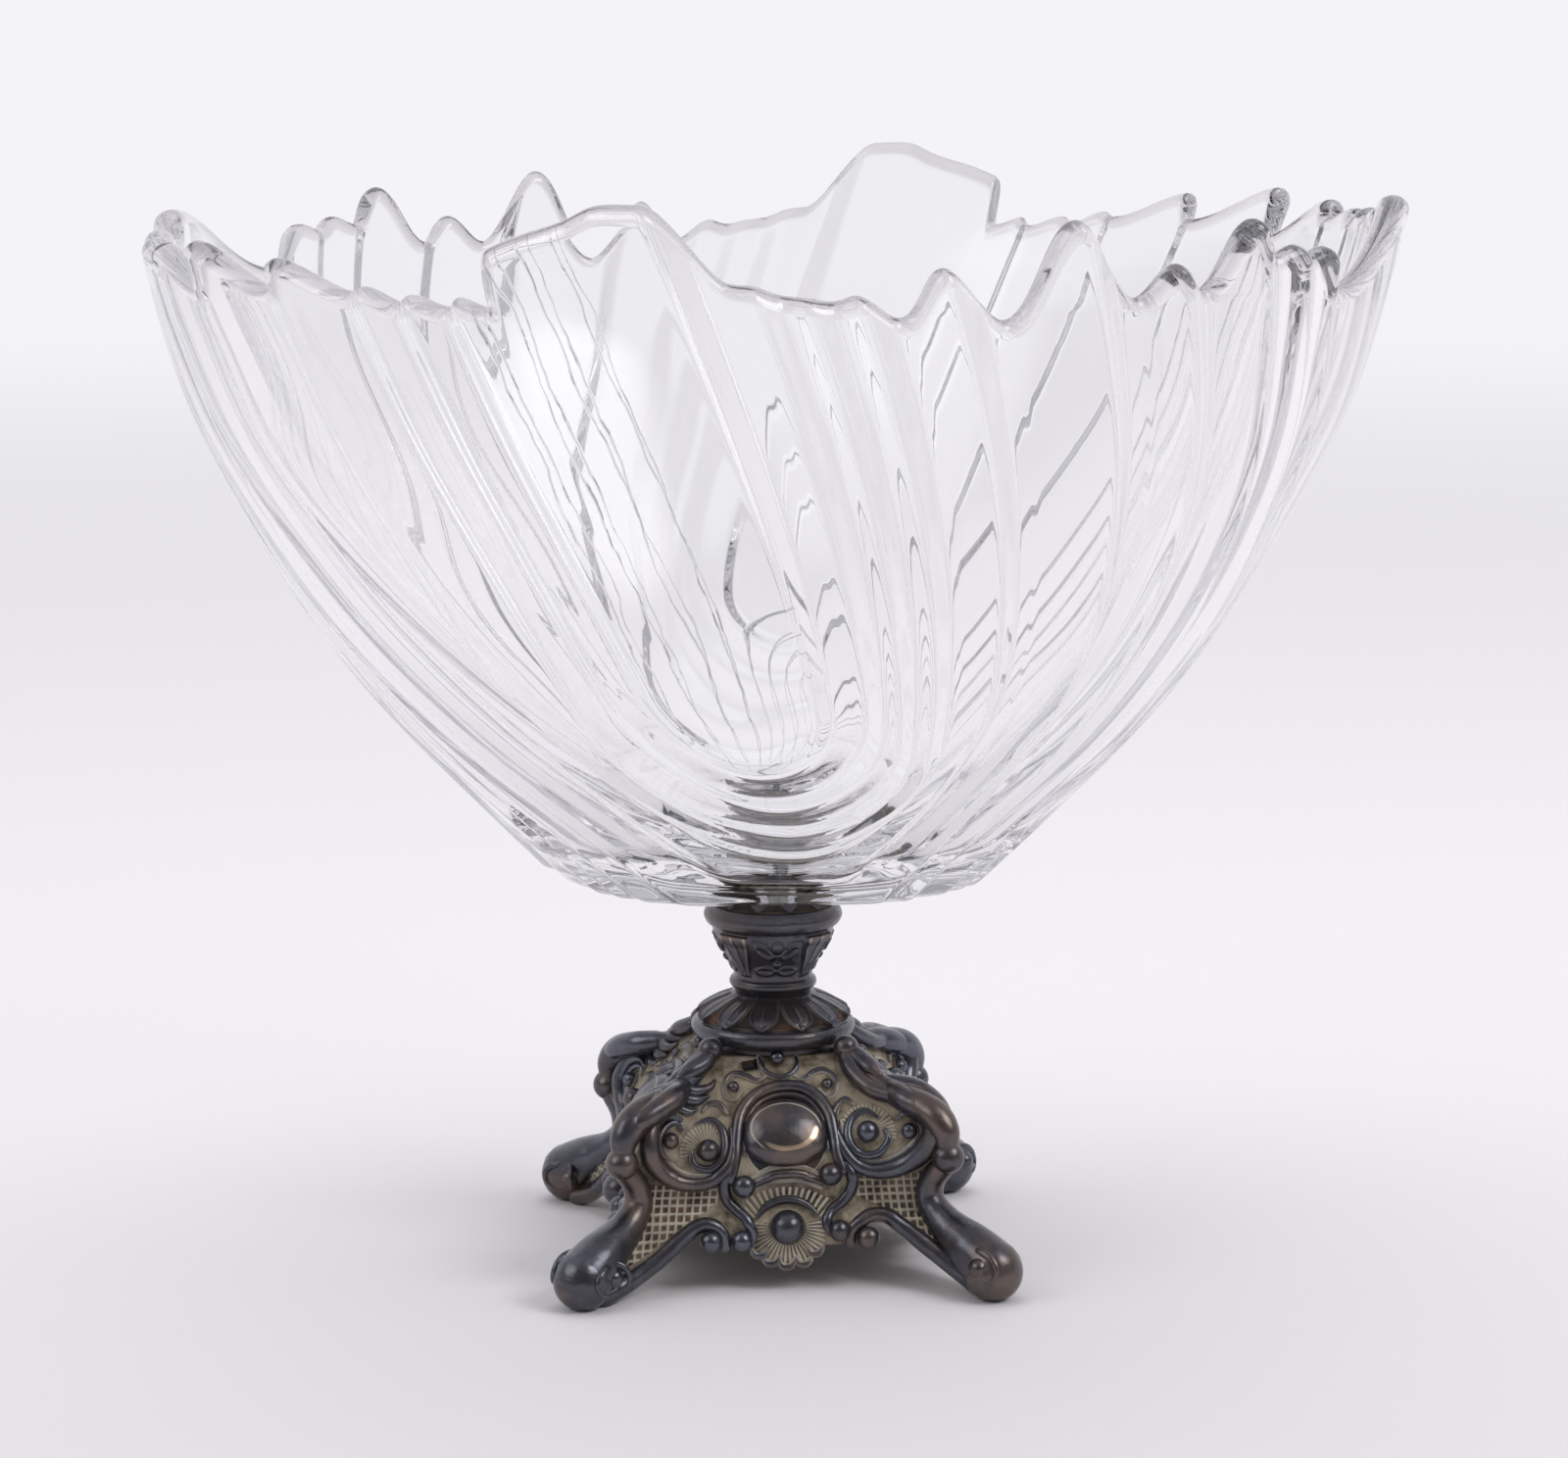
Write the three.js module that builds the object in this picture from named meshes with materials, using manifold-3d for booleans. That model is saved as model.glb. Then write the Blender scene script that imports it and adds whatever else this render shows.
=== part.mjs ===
// Pressed glass centrepiece bowl on a cast rococo foot, in millimetres, +Z up.
// The origin is on the table, under the middle of the foot; the foot's front faces -Y.
// The bowl, the stem castings and the foot are clamped together by one threaded rod.
import * as THREE from "three";
import { mergeVertices } from "three/addons/utils/BufferGeometryUtils.js";
import Module from "manifold-3d";

const wasm = await Module();
wasm.setup();

// Clearances
const SOLDER_GAP = 0.3; // between castings that are soldered side by side
const ROD_GAP = 0.3; // around the rod in every hole that it passes
const SLEEVE_GAP = 0.3; // around the sleeve in the glass
const REST_GAP = 0.3; // between round castings that lie beside each other

// Foot: four corner legs and four side panels round a hollow
const TOE_SPACING = 40.3; // from the axis to a toe's middle, along X and along Y
const TOE_R = 5.9;
const TOE_PAD_DEPTH = 0.25; // how far the toe's ball is worn flat
const FOOT_TOP = 43.4; // top edge of panels and legs
const FOOT_WALL = 3;
const ORNAMENT_LIFT = 0.4; // how far scrolls stand out of the skin that they lie on
const PANEL_HALF_WIDTH = 11.2; // from a panel's middle to the seam with a leg
const PANEL_EDGE = 8.6; // height of the lower edge beside the shell lappet
const LAPPET_HALF_WIDTH = 7.4;
const LAPPET_LOW = 3.9; // height of the lappet's scalloped edge
// Height against the distance of the face's middle from the axis
const FACE_LINE = [[2, 31.6], [10, 31], [17, 30], [24, 28.2], [30, 25], [37, 19.6], [44, 13.4]];
// Height against the distance of the drawn-out corner, along X and along Y
const CORNER_LINE = [[1.5, 41], [5.5, 41.5], [9.5, 37], [12, 32.6], [16, 29], [20, 28.2], [25, 29.6],
  [30, 32.4], [34.5, 33], [37.5, 30.5], [39.6, 25.5], [41.2, 18.5], [43.4, 13.4], [44, 13.2]];
const CORNER_SHARPNESS = 3.2; // how late a face turns out to its corner
// Height against where a leg's flank begins, counted from the face's middle
const LEG_INSIDE_LINE = [[1.5, 34], [4, 28], [6.5, 21], [9, 11], [10, 0]];
const LEG_LOW = 2.6; // lower edge of a leg's shell
const LEG_TOP_BELOW = 1.8; // how far the shell ends under the foot's top, inside the crest scroll
const LEG_ROWS = [8, 12.5, 18, 24, 31, 37, 40];
const LEG_SHARES = [0, 0.4, 0.75, 1];

// Ornament on the legs, as [across, height] pairs on a face, or [corner, height] on a corner
const BEAD_R = 3.1; // bead under the shoulder
const BEAD_AT = [32.4, 27.3];
const CREST_LINE = [[16, 42.2], [21, 41], [26.5, 40.2], [31, 37.6], [33.6, 33.6], [32.6, 29.6]];
const CREST_R = [2, 2.6, 3.3, 3.7, 3.5, 2.4];
const CREST_KNOB_R = 2.1;
const RAIL_LINE = [[31.5, 25.5], [29.4, 21.5], [29, 17.5], [31.6, 13.4], [36, 9.8], [40.3, 6.4]];
const RAIL_R = [2.2, 2.5, 2.8, 3.4, 4.6, 5.6];
const VOLUTE_LINE = [[29.6, 31], [28, 25.2], [22.5, 21.8], [16.4, 22.6], [13.8, 27], [16, 31.4]];
const VOLUTE_R = 1.6;
const VOLUTE_EYE_AT = [17.4, 27.6];
const VOLUTE_EYE_R = 2.6;
const SKIRT_LINE = [[15.8, 10.2], [19.5, 10.4], [25, 7.4], [31, 4.4], [37, 2.6]];
const SKIRT_R = 1.7;
const SKIRT_BALL_R = 2.4;

// Ornament on the panels
const CABOCHON_AT = [0, 30.4];
const CABOCHON_HALF = [7.4, 6.9, 3.6]; // across, up the face, out of the face
const FRAME_LINE = [[-7.6, 23], [-9.4, 27.6], [-9.2, 33], [-5.6, 37.6], [0, 39.2]];
const FRAME_R = 1.4;
const PANEL_BEAD_AT = [8.9, 21.7];
const PANEL_BEAD_R = 2.8;
const STRAP_LINE = [[8.9, 19.8], [7.4, 16.6], [7.4, 13.6], [8.6, 11.6]];
const STRAP_R = 1.1;
const STRAP_BALL_R = 2.3;
const ARCH_LINE = [[-7.6, 18.6], [-4.6, 21], [0, 21.8]];
const ARCH_R = 1.2;
const BOSS_AT = [0, 13];
const BOSS_R = 3.1;
const TOP_BEAD_AT = [0, 41.6];
const TOP_BEAD_R = 1.5;
const PIERCING_AT = [-6.2, 41];
const PIERCING_R = 1.2;

// Crown plate and stem
const CROWN_R = 14.3;
const CROWN_THICK = 1.3;
const COLLAR_R = 16.6;
const COLLAR_H = 9.4;
const COLLAR_LEAVES = 12;
const COLLAR_LEAF_DEPTH = 0.5;
const CUP_H = 24.4;
const CUP_LIP_R = 14;
const CUP_NECK_R = 7.6;
const CUP_SEAT_R = 12.4;
// Outlines of the collar and the cup, as shares of a radius and of the height
const COLLAR_SHAPE = [[0.88, 0], [0.96, 0.06], [1, 0.28], [0.955, 0.54], [0.87, 0.66], [0.76, 0.76],
  [0.6, 0.88]];
const COLLAR_LEAF_START = 0.28; // share of the height at which the leaves begin to stand out
const COLLAR_LEAF_GROWTH = 0.26; // share over which they reach their full depth
const CUP_NECK_SHAPE = [[1, 0], [1.1, 0.03], [1.16, 0.075], [1.1, 0.125], [1.06, 0.175], [1.2, 0.24],
  [1.37, 0.325], [1.55, 0.43]];
const CUP_LIP_SHAPE = [[0.88, 0.5], [0.96, 0.55], [1, 0.63], [0.97, 0.69], [0.86, 0.78], [0.8, 0.87]];
const CUP_SEAT_SHARE = 0.92; // height at which the cup's straight seat begins

// Rod, nut and washers
const ROD_R = 2.5;
const ROD_BEVEL = 0.5;
const NUT_ACROSS_FLATS = 8;
const NUT_H = 4;
const LOCK_WASHER_R = 4.6;
const LOCK_WASHER_H = 1.2;
const SPREADER_R = 9.2;
const SPREADER_H = 1.6;
const ROD_TAIL = 3; // thread that shows under the nut
const SEAT_WASHER_R = 12;
const SEAT_WASHER_H = 1.2;
const CAP_WASHER_R = 11.4;
const CAP_WASHER_H = 1;
const CAP_R = 12.4;
const CAP_H = 6.6;
const CAP_RIM_H = 1.4;
const CAP_THREAD_DEPTH = 4.4;
const SLEEVE_WALL = 0.9;

// Bowl, with heights counted from its flat bottom
const BOWL_FLOOR = 8;
const BOWL_WALL = 3.3; // at the bottom of a groove, near the rim
const BOWL_WALL_LOW = 6; // the same near the floor
const BOWL_RIM_ROUND = 1.7;
const BOWL_FLOOR_R = 33; // flat part of the inner floor
// Height against the radius over the ridges
const BOWL_LINE = [[0, 45.5], [15.8, 61], [35.4, 79.3], [55, 94], [74.6, 105.5], [94.2, 114.8],
  [113.8, 120.8], [128.2, 124], [142.2, 126.5]];
const FACET_DEPTH = 5; // how far the bottom edge is cut in below the tongue
const FACET_HALF_ANGLE = 34;
const FACET_H = 12;
const RIM_SLOPE = 0.018; // rise of the rim for each millimetre along +X
const TONGUE_AZIMUTH = -20.9; // where the tongue's middle meets the rim, from -Y towards +X
const TONGUE_DRIFT = 0.165; // degrees that the middle moves on for each millimetre down
const TONGUE_RIM_H = 120.2; // height at which the azimuth above holds
// The cut: U-shaped ridges, nested round a tongue, which a second set meets half a turn on.
// at: degrees from the tongue's middle. closes: height at which the U's two sides meet.
// bend: height over which they turn in. tip, foot: rim height at the ridge and past it.
// fall: degrees from the ridge to the groove outside it.
const ridge = (at, closes, bend, tip, foot, fall) => ({ at, closes, bend, tip, foot, fall });
const RIDGES_RIGHT = [
  ridge(9.2, 33.7, 10, 139.5, 125.6, 4.6),
  ridge(15.5, 26.7, 18, 125.4, 123.4, 2.6),
  ridge(19.6, 20.2, 17, 123.1, 122.2, 2.3),
  ridge(24, 14.2, 18, 123.4, 118.9, 3.1),
  ridge(31.9, 5.2, 46, 127.8, 117.8, 4.2),
  ridge(44.7, -9.8, 75, 135.2, 120.4, 4.4),
  ridge(54.1, -21.8, 110, 126.5, 121, 2.2),
  ridge(64, -29.8, 110, 133.6, 125.6, 1.8),
  ridge(69.8, -34.8, 110, 128, 125.2, 1.4),
  ridge(74.7, -39.8, 110, 127, 118.5, 4),
  ridge(102.5, -69.8, 120, 133.2, 128, 2.2),
];
const RIDGES_LEFT = [
  ridge(10.3, 33.7, 15, 123.8, 121.4, 1.3),
  ridge(15.3, 26.7, 25, 123.7, 122.1, 1.3),
  ridge(20, 20.2, 17, 124.9, 123.7, 1.3),
  ridge(30.2, 14.2, 40, 129.3, 123.7, 1.4),
  ridge(43.6, 5.2, 99, 131.3, 121.4, 1.6),
  ridge(54.4, -9.8, 90, 129.8, 126, 1.4),
  ridge(61.5, -21.8, 110, 128.7, 126.5, 1.3),
  ridge(65.8, -29.8, 110, 129.5, 127.5, 1.2),
  ridge(71.5, -34.8, 110, 130.3, 128, 1.3),
];
const TONGUE_TOP = [[-6.2, 131.5], [-3, 133.9], [2, 136.8], [5.2, 139.4], [9.2, 139.5]];
const TONGUE_CORNER_FALL = 0.6; // degrees over which the tongue's left corner drops
const RIDGE_DEPTH = 1.4;
const RIDGE_DEPTH_PER_TOOTH = 0.12; // deeper ridges stand under taller teeth
const SEAM_ANGLE = 106; // where the two sets of ridges meet
const TONGUE_CLOSING = 1.6; // how much higher the tongue's innermost U closes than the first ridge
const MOST_FALL = 0.85; // a groove's lowest line stays this share of the way to the next ridge
const HALVINGS = 24;
const FOLLOWED_RIDGE = 5; // columns inside this ridge close in with it
const LEAST_CLOSING = 0.5;
const LONG_RISE = 9; // a rise longer than this many degrees gets a column in its middle
const ROW_HEIGHTS = [3.6, 9, 14.2, 17.2, 20.2, 23.4, 26.7, 30, 33.7, 42];
const ROW_SHARES_OUT = [0.3, 0.64];
const ROW_SHARES_IN = [0.5];
const ROW_HEIGHTS_IN = [34, 15];

// Heights that follow from the stack
const CROWN_Z = FOOT_TOP;
const COLLAR_Z = CROWN_Z + CROWN_THICK;
const CUP_Z = COLLAR_Z + COLLAR_H;
const SEAT_WASHER_Z = CUP_Z + CUP_H;
const BOWL_Z = SEAT_WASHER_Z + SEAT_WASHER_H;
const CAP_WASHER_Z = BOWL_Z + BOWL_FLOOR;
const CAP_Z = CAP_WASHER_Z + CAP_WASHER_H;
const SPREADER_Z = CROWN_Z - SPREADER_H;
const LOCK_WASHER_Z = SPREADER_Z - LOCK_WASHER_H;
const NUT_Z = LOCK_WASHER_Z - NUT_H;
const ROD_Z = NUT_Z - ROD_TAIL;
const ROD_TOP = CAP_Z + CAP_THREAD_DEPTH - REST_GAP;
const BORE_R = ROD_R + ROD_GAP;
const SLEEVE_R = BORE_R + SLEEVE_WALL;
const BOWL_HOLE_R = SLEEVE_R + SLEEVE_GAP;

const QUARTER_TURN = 90;
const MERGE_DISTANCE = 1e-4;
const radians = THREE.MathUtils.degToRad;
const clamp = THREE.MathUtils.clamp;
const lerp = THREE.MathUtils.lerp;
const smooth = (t) => THREE.MathUtils.smoothstep(t, 0, 1);

// A smooth curve through [position, value] pairs in rising order
function curveThrough(pairs) {
  const slopes = pairs.map((pair, i) => {
    const before = pairs[Math.max(i - 1, 0)];
    const after = pairs[Math.min(i + 1, pairs.length - 1)];
    return (after[1] - before[1]) / (after[0] - before[0]);
  });
  return (position) => {
    const at = clamp(position, pairs[0][0], pairs[pairs.length - 1][0]);
    const found = pairs.findIndex((pair) => pair[0] >= at);
    const i = Math.max(found, 1) - 1;
    const step = pairs[i + 1][0] - pairs[i][0];
    const t = (at - pairs[i][0]) / step;
    const from = pairs[i][1] * (1 + 2 * t) * (1 - t) ** 2 + pairs[i + 1][1] * t * t * (3 - 2 * t);
    return from + step * (slopes[i] * t * (1 - t) ** 2 - slopes[i + 1] * t * t * (1 - t));
  };
}

// Straight lines through [position, value] pairs
function linesThrough(pairs) {
  return (position) => {
    const at = clamp(position, pairs[0][0], pairs[pairs.length - 1][0]);
    const i = Math.max(pairs.findIndex((pair) => pair[0] >= at), 1) - 1;
    return lerp(pairs[i][1], pairs[i + 1][1], (at - pairs[i][0]) / (pairs[i + 1][0] - pairs[i][0]));
  };
}

function geometryFrom(points, triangles) {
  const geometry = new THREE.BufferGeometry();
  geometry.setAttribute("position", new THREE.Float32BufferAttribute(points.flat(), 3));
  geometry.setIndex(triangles);
  return geometry;
}

// A grid of points that closes on itself both ways, as a ring does
function ringSurface(rows) {
  const across = rows[0].length;
  const triangles = [];
  rows.forEach((row, r) => {
    const next = ((r + 1) % rows.length) * across;
    for (let c = 0; c < across; c += 1) {
      const a = r * across + c;
      const b = r * across + ((c + 1) % across);
      triangles.push(a, b, next + ((c + 1) % across), a, next + ((c + 1) % across), next + c);
    }
  });
  return geometryFrom(rows.flat(), triangles);
}

// A slab between an outer and an inner grid of points of the same size
function slab(outer, inner) {
  const rows = outer.length;
  const across = outer[0].length;
  const backOffset = rows * across;
  const triangles = [];
  const quad = (a, b, c, d) => triangles.push(a, b, c, a, c, d);
  for (let r = 0; r < rows - 1; r += 1) {
    for (let c = 0; c < across - 1; c += 1) {
      const a = r * across + c;
      quad(a, a + 1, a + across + 1, a + across);
      quad(backOffset + a, backOffset + a + across, backOffset + a + across + 1, backOffset + a + 1);
    }
  }
  for (let c = 0; c < across - 1; c += 1) {
    const top = (rows - 1) * across + c;
    quad(backOffset + c, backOffset + c + 1, c + 1, c);
    quad(top, top + 1, backOffset + top + 1, backOffset + top);
  }
  for (let r = 0; r < rows - 1; r += 1) {
    const left = r * across;
    const right = left + across - 1;
    quad(left, left + across, backOffset + left + across, backOffset + left);
    quad(right + across, right, backOffset + right, backOffset + right + across);
  }
  return geometryFrom([...outer.flat(), ...inner.flat()], triangles);
}

function solidOf(geometry) {
  const bare = geometry.clone();
  bare.deleteAttribute("normal");
  bare.deleteAttribute("uv");
  const merged = mergeVertices(bare, MERGE_DISTANCE);
  return new wasm.Manifold(new wasm.Mesh({
    numProp: 3,
    vertProperties: new Float32Array(merged.attributes.position.array),
    triVerts: new Uint32Array(merged.index.array),
  }));
}

function geometryOf(solid) {
  const mesh = solid.getMesh();
  const geometry = new THREE.BufferGeometry();
  geometry.setAttribute("position", new THREE.BufferAttribute(mesh.vertProperties, 3));
  geometry.setIndex(new THREE.BufferAttribute(mesh.triVerts, 1));
  geometry.computeVertexNormals();
  return geometry;
}

const joined = (solids) => solids.reduce((whole, solid) => whole.add(solid));

// A tube of changing radius along points, with closed ends
function taperedTube(points, radii, sides, steps) {
  const path = new THREE.CatmullRomCurve3(points);
  const radiusAt = curveThrough(radii.map((radius, i) => [i / (radii.length - 1), radius]));
  const frames = path.computeFrenetFrames(steps, false);
  const ringPoints = [];
  for (let i = 0; i <= steps; i += 1) {
    const middle = path.getPointAt(i / steps);
    for (let s = 0; s < sides; s += 1) {
      const turn = (s / sides) * 2 * Math.PI;
      const out = frames.normals[i].clone().multiplyScalar(Math.cos(turn));
      out.addScaledVector(frames.binormals[i], Math.sin(turn));
      ringPoints.push(middle.clone().addScaledVector(out, radiusAt(i / steps)).toArray());
    }
  }
  const triangles = [];
  for (let i = 0; i < steps; i += 1) {
    for (let s = 0; s < sides; s += 1) {
      const a = i * sides + s;
      const b = i * sides + ((s + 1) % sides);
      triangles.push(a, b, b + sides, a, b + sides, a + sides);
    }
  }
  const last = steps * sides;
  for (let s = 1; s < sides - 1; s += 1) {
    triangles.push(0, s + 1, s, last, last + s, last + s + 1);
  }
  return solidOf(geometryFrom(ringPoints, triangles));
}

function ball(center, radius, around = 6, down = 4) {
  const geometry = new THREE.SphereGeometry(radius, around, down);
  geometry.rotateX(Math.PI / 2);
  geometry.translate(center.x, center.y, center.z);
  return solidOf(geometry);
}

function block(low, high) {
  const size = high.clone().sub(low);
  const middle = high.clone().add(low).multiplyScalar(0.5);
  return solidOf(new THREE.BoxGeometry(size.x, size.y, size.z).translate(middle.x, middle.y, middle.z));
}

// A body turned on the Z axis from an outline of [radius, height] pairs
function turned(outline, segments) {
  const points = outline.map(([radius, height]) => new THREE.Vector2(radius, height));
  return new THREE.LatheGeometry(points, segments).rotateX(Math.PI / 2);
}

// The same with a round hole through it
function turnedWithBore(outline, boreRadius, segments) {
  const low = outline[0][1];
  const high = outline[outline.length - 1][1];
  const closed = [[boreRadius, low], ...outline, [boreRadius, high], [boreRadius, low]];
  return turned(closed, segments);
}

// The bowl's cut
const bowlRadius = curveThrough(BOWL_LINE);
const ridgesOn = (side) => (side > 0 ? RIDGES_RIGHT : RIDGES_LEFT);
const depthOf = (r) => RIDGE_DEPTH + RIDGE_DEPTH_PER_TOOTH * (r.tip - r.foot);
const tongueMiddle = (height) => TONGUE_AZIMUTH + TONGUE_DRIFT * (TONGUE_RIM_H - height);

// A U between two ridges: order 1 is the first ridge, 1.5 is half way to the second
function ridgeAt(side, order) {
  const ridges = ridgesOn(side);
  const next = ridges[clamp(Math.ceil(order) - 1, 0, ridges.length - 1)];
  const before = order > 1 ? ridges[Math.min(Math.floor(order), ridges.length) - 1] : null;
  const from = before ?? { at: 0, closes: next.closes * TONGUE_CLOSING, bend: next.bend };
  const t = order - Math.floor(order);
  return {
    at: lerp(from.at, next.at, t === 0 && before ? 1 : t),
    closes: lerp(from.closes, next.closes, t),
    bend: lerp(from.bend, next.bend, t),
  };
}

const closingShare = (u, height) => Math.sqrt(1 - (1 - clamp((height - u.closes) / u.bend, 0, 1)) ** 2);

// How far out among the ridges a point of the bowl lies, found by halving
function orderAt(side, angle, height) {
  let low = 0;
  let high = ridgesOn(side).length;
  for (let i = 0; i < HALVINGS; i += 1) {
    const middle = (low + high) / 2;
    const u = ridgeAt(side, middle);
    const inside = height < u.closes || u.at * closingShare(u, height) < angle;
    if (inside) low = middle;
    else high = middle;
  }
  return (low + high) / 2;
}

// How far past a ridge the groove outside it lies, as a share of the way to the next ridge
function fallShare(side, index) {
  const ridges = ridgesOn(side);
  const end = index + 1 < ridges.length ? ridges[index + 1].at : side > 0 ? SEAM_ANGLE : 180 - SEAM_ANGLE;
  return Math.min(ridges[index].fall / (end - ridges[index].at), MOST_FALL);
}

// How deep the glass lies below the ridges' outline
function grooveDepth(side, angle, height) {
  const ridges = ridgesOn(side);
  const order = orderAt(side, angle, height);
  if (order < 1) return 0;
  const index = Math.min(Math.floor(order), ridges.length) - 1;
  const depth = depthOf(ridges[index]);
  const share = fallShare(side, index);
  if (index === ridges.length - 1) {
    const past = angle - ridges[index].at * closingShare(ridges[index], height);
    return depth * smooth(clamp(past / ridges[index].fall, 0, 1));
  }
  const t = order - Math.floor(order);
  return t < share ? depth * smooth(t / share) : depth * (1 - smooth((t - share) / (1 - share)));
}

const tongueTop = linesThrough(TONGUE_TOP);

// Height of the rim at a signed angle from the tongue's middle
function rimHeight(signedAngle) {
  const side = signedAngle >= 0 ? 1 : -1;
  const angle = Math.abs(signedAngle);
  const ridges = ridgesOn(side);
  const corner = -TONGUE_TOP[0][0];
  if (side > 0 && angle <= ridges[0].at) return tongueTop(angle);
  if (side < 0 && angle <= corner) return tongueTop(-angle);
  if (side < 0 && angle < ridges[0].at) {
    const groove = ridges[0].foot;
    const fallen = smooth(clamp((angle - corner) / TONGUE_CORNER_FALL, 0, 1));
    const risen = smooth(clamp((angle - corner - TONGUE_CORNER_FALL) / (ridges[0].at - corner), 0, 1));
    return lerp(TONGUE_TOP[0][1], lerp(groove, ridges[0].tip, risen), fallen);
  }
  const index = ridges.findLastIndex((r) => r.at <= angle);
  const here = ridges[index];
  const past = angle - here.at;
  if (past <= here.fall || index === ridges.length - 1) {
    return lerp(here.tip, here.foot, smooth(clamp(past / here.fall, 0, 1)));
  }
  const next = ridges[index + 1];
  return lerp(here.foot, next.tip, smooth((past - here.fall) / (next.at - here.at - here.fall)));
}

// One column of the bowl's mesh: its side, its order among the ridges and its rim angle
function bowlColumns() {
  const columns = [];
  for (const side of [1, -1]) {
    const ridges = ridgesOn(side);
    ridges.forEach((r, index) => {
      const share = fallShare(side, index);
      const isLast = index === ridges.length - 1;
      columns.push({ side, order: index + 1, angle: r.at });
      columns.push({ side, order: isLast ? index + 1 : index + 1 + share, angle: r.at + r.fall });
      const rise = isLast ? 0 : ridges[index + 1].at - r.at - r.fall;
      if (rise > LONG_RISE) {
        const middle = (share + 1) / 2;
        const angle = lerp(r.at + r.fall, ridges[index + 1].at, 0.5);
        columns.push({ side, order: index + 1 + middle, angle });
      }
    });
  }
  TONGUE_TOP.slice(0, -1).forEach(([at]) => {
    columns.push({ side: at < 0 ? -1 : 1, order: 0.5, angle: Math.abs(at) });
  });
  columns.push({ side: -1, order: 0.9, angle: -TONGUE_TOP[0][0] + TONGUE_CORNER_FALL });
  columns.push({ side: 1, order: RIDGES_RIGHT.length, angle: SEAM_ANGLE });
  return columns.sort((a, b) => a.side * a.angle - b.side * b.angle);
}

// A column's angle from the tongue's middle at a height: it closes in as its ridge does
function columnAngle(column, height) {
  const order = Math.max(column.order, FOLLOWED_RIDGE);
  const closing = Math.max(closingShare(ridgeAt(column.side, order), height), LEAST_CLOSING);
  const stays = column.angle === SEAM_ANGLE ? 1 : closing;
  return column.angle * stays;
}

function bowlPoint(turn, column, height, radius) {
  const signed = column.side * columnAngle(column, height);
  const azimuth = radians(tongueMiddle(height) + signed + turn);
  const rim = rimHeight(column.side * column.angle);
  const x = radius * Math.sin(azimuth);
  const share = clamp((height - BOWL_FLOOR) / (rim - BOWL_FLOOR), 0, 1);
  return [x, -radius * Math.cos(azimuth), height + RIM_SLOPE * x * share ** 2];
}

function outerRadius(column, height) {
  const angle = columnAngle(column, height);
  const beside = smooth(clamp(1 - angle / FACET_HALF_ANGLE, 0, 1));
  const above = smooth(clamp(1 - height / FACET_H, 0, 1));
  return bowlRadius(height) - grooveDepth(column.side, angle, height) - FACET_DEPTH * beside * above;
}

function innerRadius(height) {
  const deepest = Math.max(...RIDGES_RIGHT.map(depthOf), ...RIDGES_LEFT.map(depthOf));
  return bowlRadius(height) - deepest - lerp(BOWL_WALL_LOW, BOWL_WALL, clamp(height / TONGUE_RIM_H, 0, 1));
}

function makeBowl() {
  const half = bowlColumns();
  const around = [0, 180].flatMap((turn) => half.map((column) => ({ turn, column })));
  const row = (heightOf, radiusOf) => around.map(({ turn, column }) => {
    const rim = rimHeight(column.side * column.angle);
    const height = heightOf(rim);
    return bowlPoint(turn, column, height, radiusOf(column, height, rim));
  });
  const lastFixed = ROW_HEIGHTS[ROW_HEIGHTS.length - 1];
  const shoulderOf = (rim) => rim - BOWL_RIM_ROUND;
  const inside = (column, height) => innerRadius(height);
  const rows = [
    row(() => 0, () => BOWL_HOLE_R),
    row(() => 0, outerRadius),
    ...ROW_HEIGHTS.map((height) => row(() => height, outerRadius)),
    ...ROW_SHARES_OUT.map((share) => row((rim) => lerp(lastFixed, shoulderOf(rim), share), outerRadius)),
    row(shoulderOf, outerRadius),
    row((rim) => rim, (column, height) => (outerRadius(column, height) + innerRadius(height)) / 2),
    row(shoulderOf, inside),
    ...ROW_SHARES_IN.map((share) => row((rim) => lerp(lastFixed, shoulderOf(rim), share), inside)),
    ...ROW_HEIGHTS_IN.map((height) => row(() => height, inside)),
    row(() => BOWL_FLOOR, () => BOWL_FLOOR_R),
    row(() => BOWL_FLOOR, () => BOWL_HOLE_R),
  ];
  return ringSurface(rows);
}

// The foot's skin
const faceLine = curveThrough(FACE_LINE);
const cornerLine = curveThrough(CORNER_LINE);
const legInside = linesThrough(LEG_INSIDE_LINE);

// Distance of a face from the axis, across its width and up its height
function faceDistance(across, height) {
  const corner = cornerLine(height);
  const middle = Math.min(faceLine(height), corner);
  const share = clamp(Math.abs(across) / corner, 0, 1);
  return middle + (corner - middle) * share ** CORNER_SHARPNESS;
}

// A point of the front face, and the same on the right face, lifted out of the skin
const onFace = (across, height, lift = 0) =>
  new THREE.Vector3(across, -faceDistance(across, height) - lift, height);
const onRightFace = (across, height, lift = 0) =>
  new THREE.Vector3(faceDistance(across, height) + lift, -across, height);
const onCorner = (spacing, height) => new THREE.Vector3(spacing, -spacing, height);

function panelPlate() {
  const acrossSteps = 4;
  const heights = [0, 0.25, 0.5, 0.75, 1];
  const lowEdge = (across) => {
    const share = clamp(Math.abs(across) / LAPPET_HALF_WIDTH, 0, 1);
    return lerp(LAPPET_LOW, PANEL_EDGE, share ** 3);
  };
  const grid = (lift) => heights.map((share) => {
    const row = [];
    for (let i = 0; i <= acrossSteps; i += 1) {
      const across = lerp(-PANEL_HALF_WIDTH, PANEL_HALF_WIDTH, i / acrossSteps);
      row.push(onFace(across, lerp(lowEdge(across), FOOT_TOP, share), lift).toArray());
    }
    return row;
  });
  return solidOf(slab(grid(0), grid(-FOOT_WALL)));
}

function mirrored(line) {
  return [...line, ...line.slice(0, -1).reverse().map(([across, height]) => [-across, height])];
}

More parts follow.
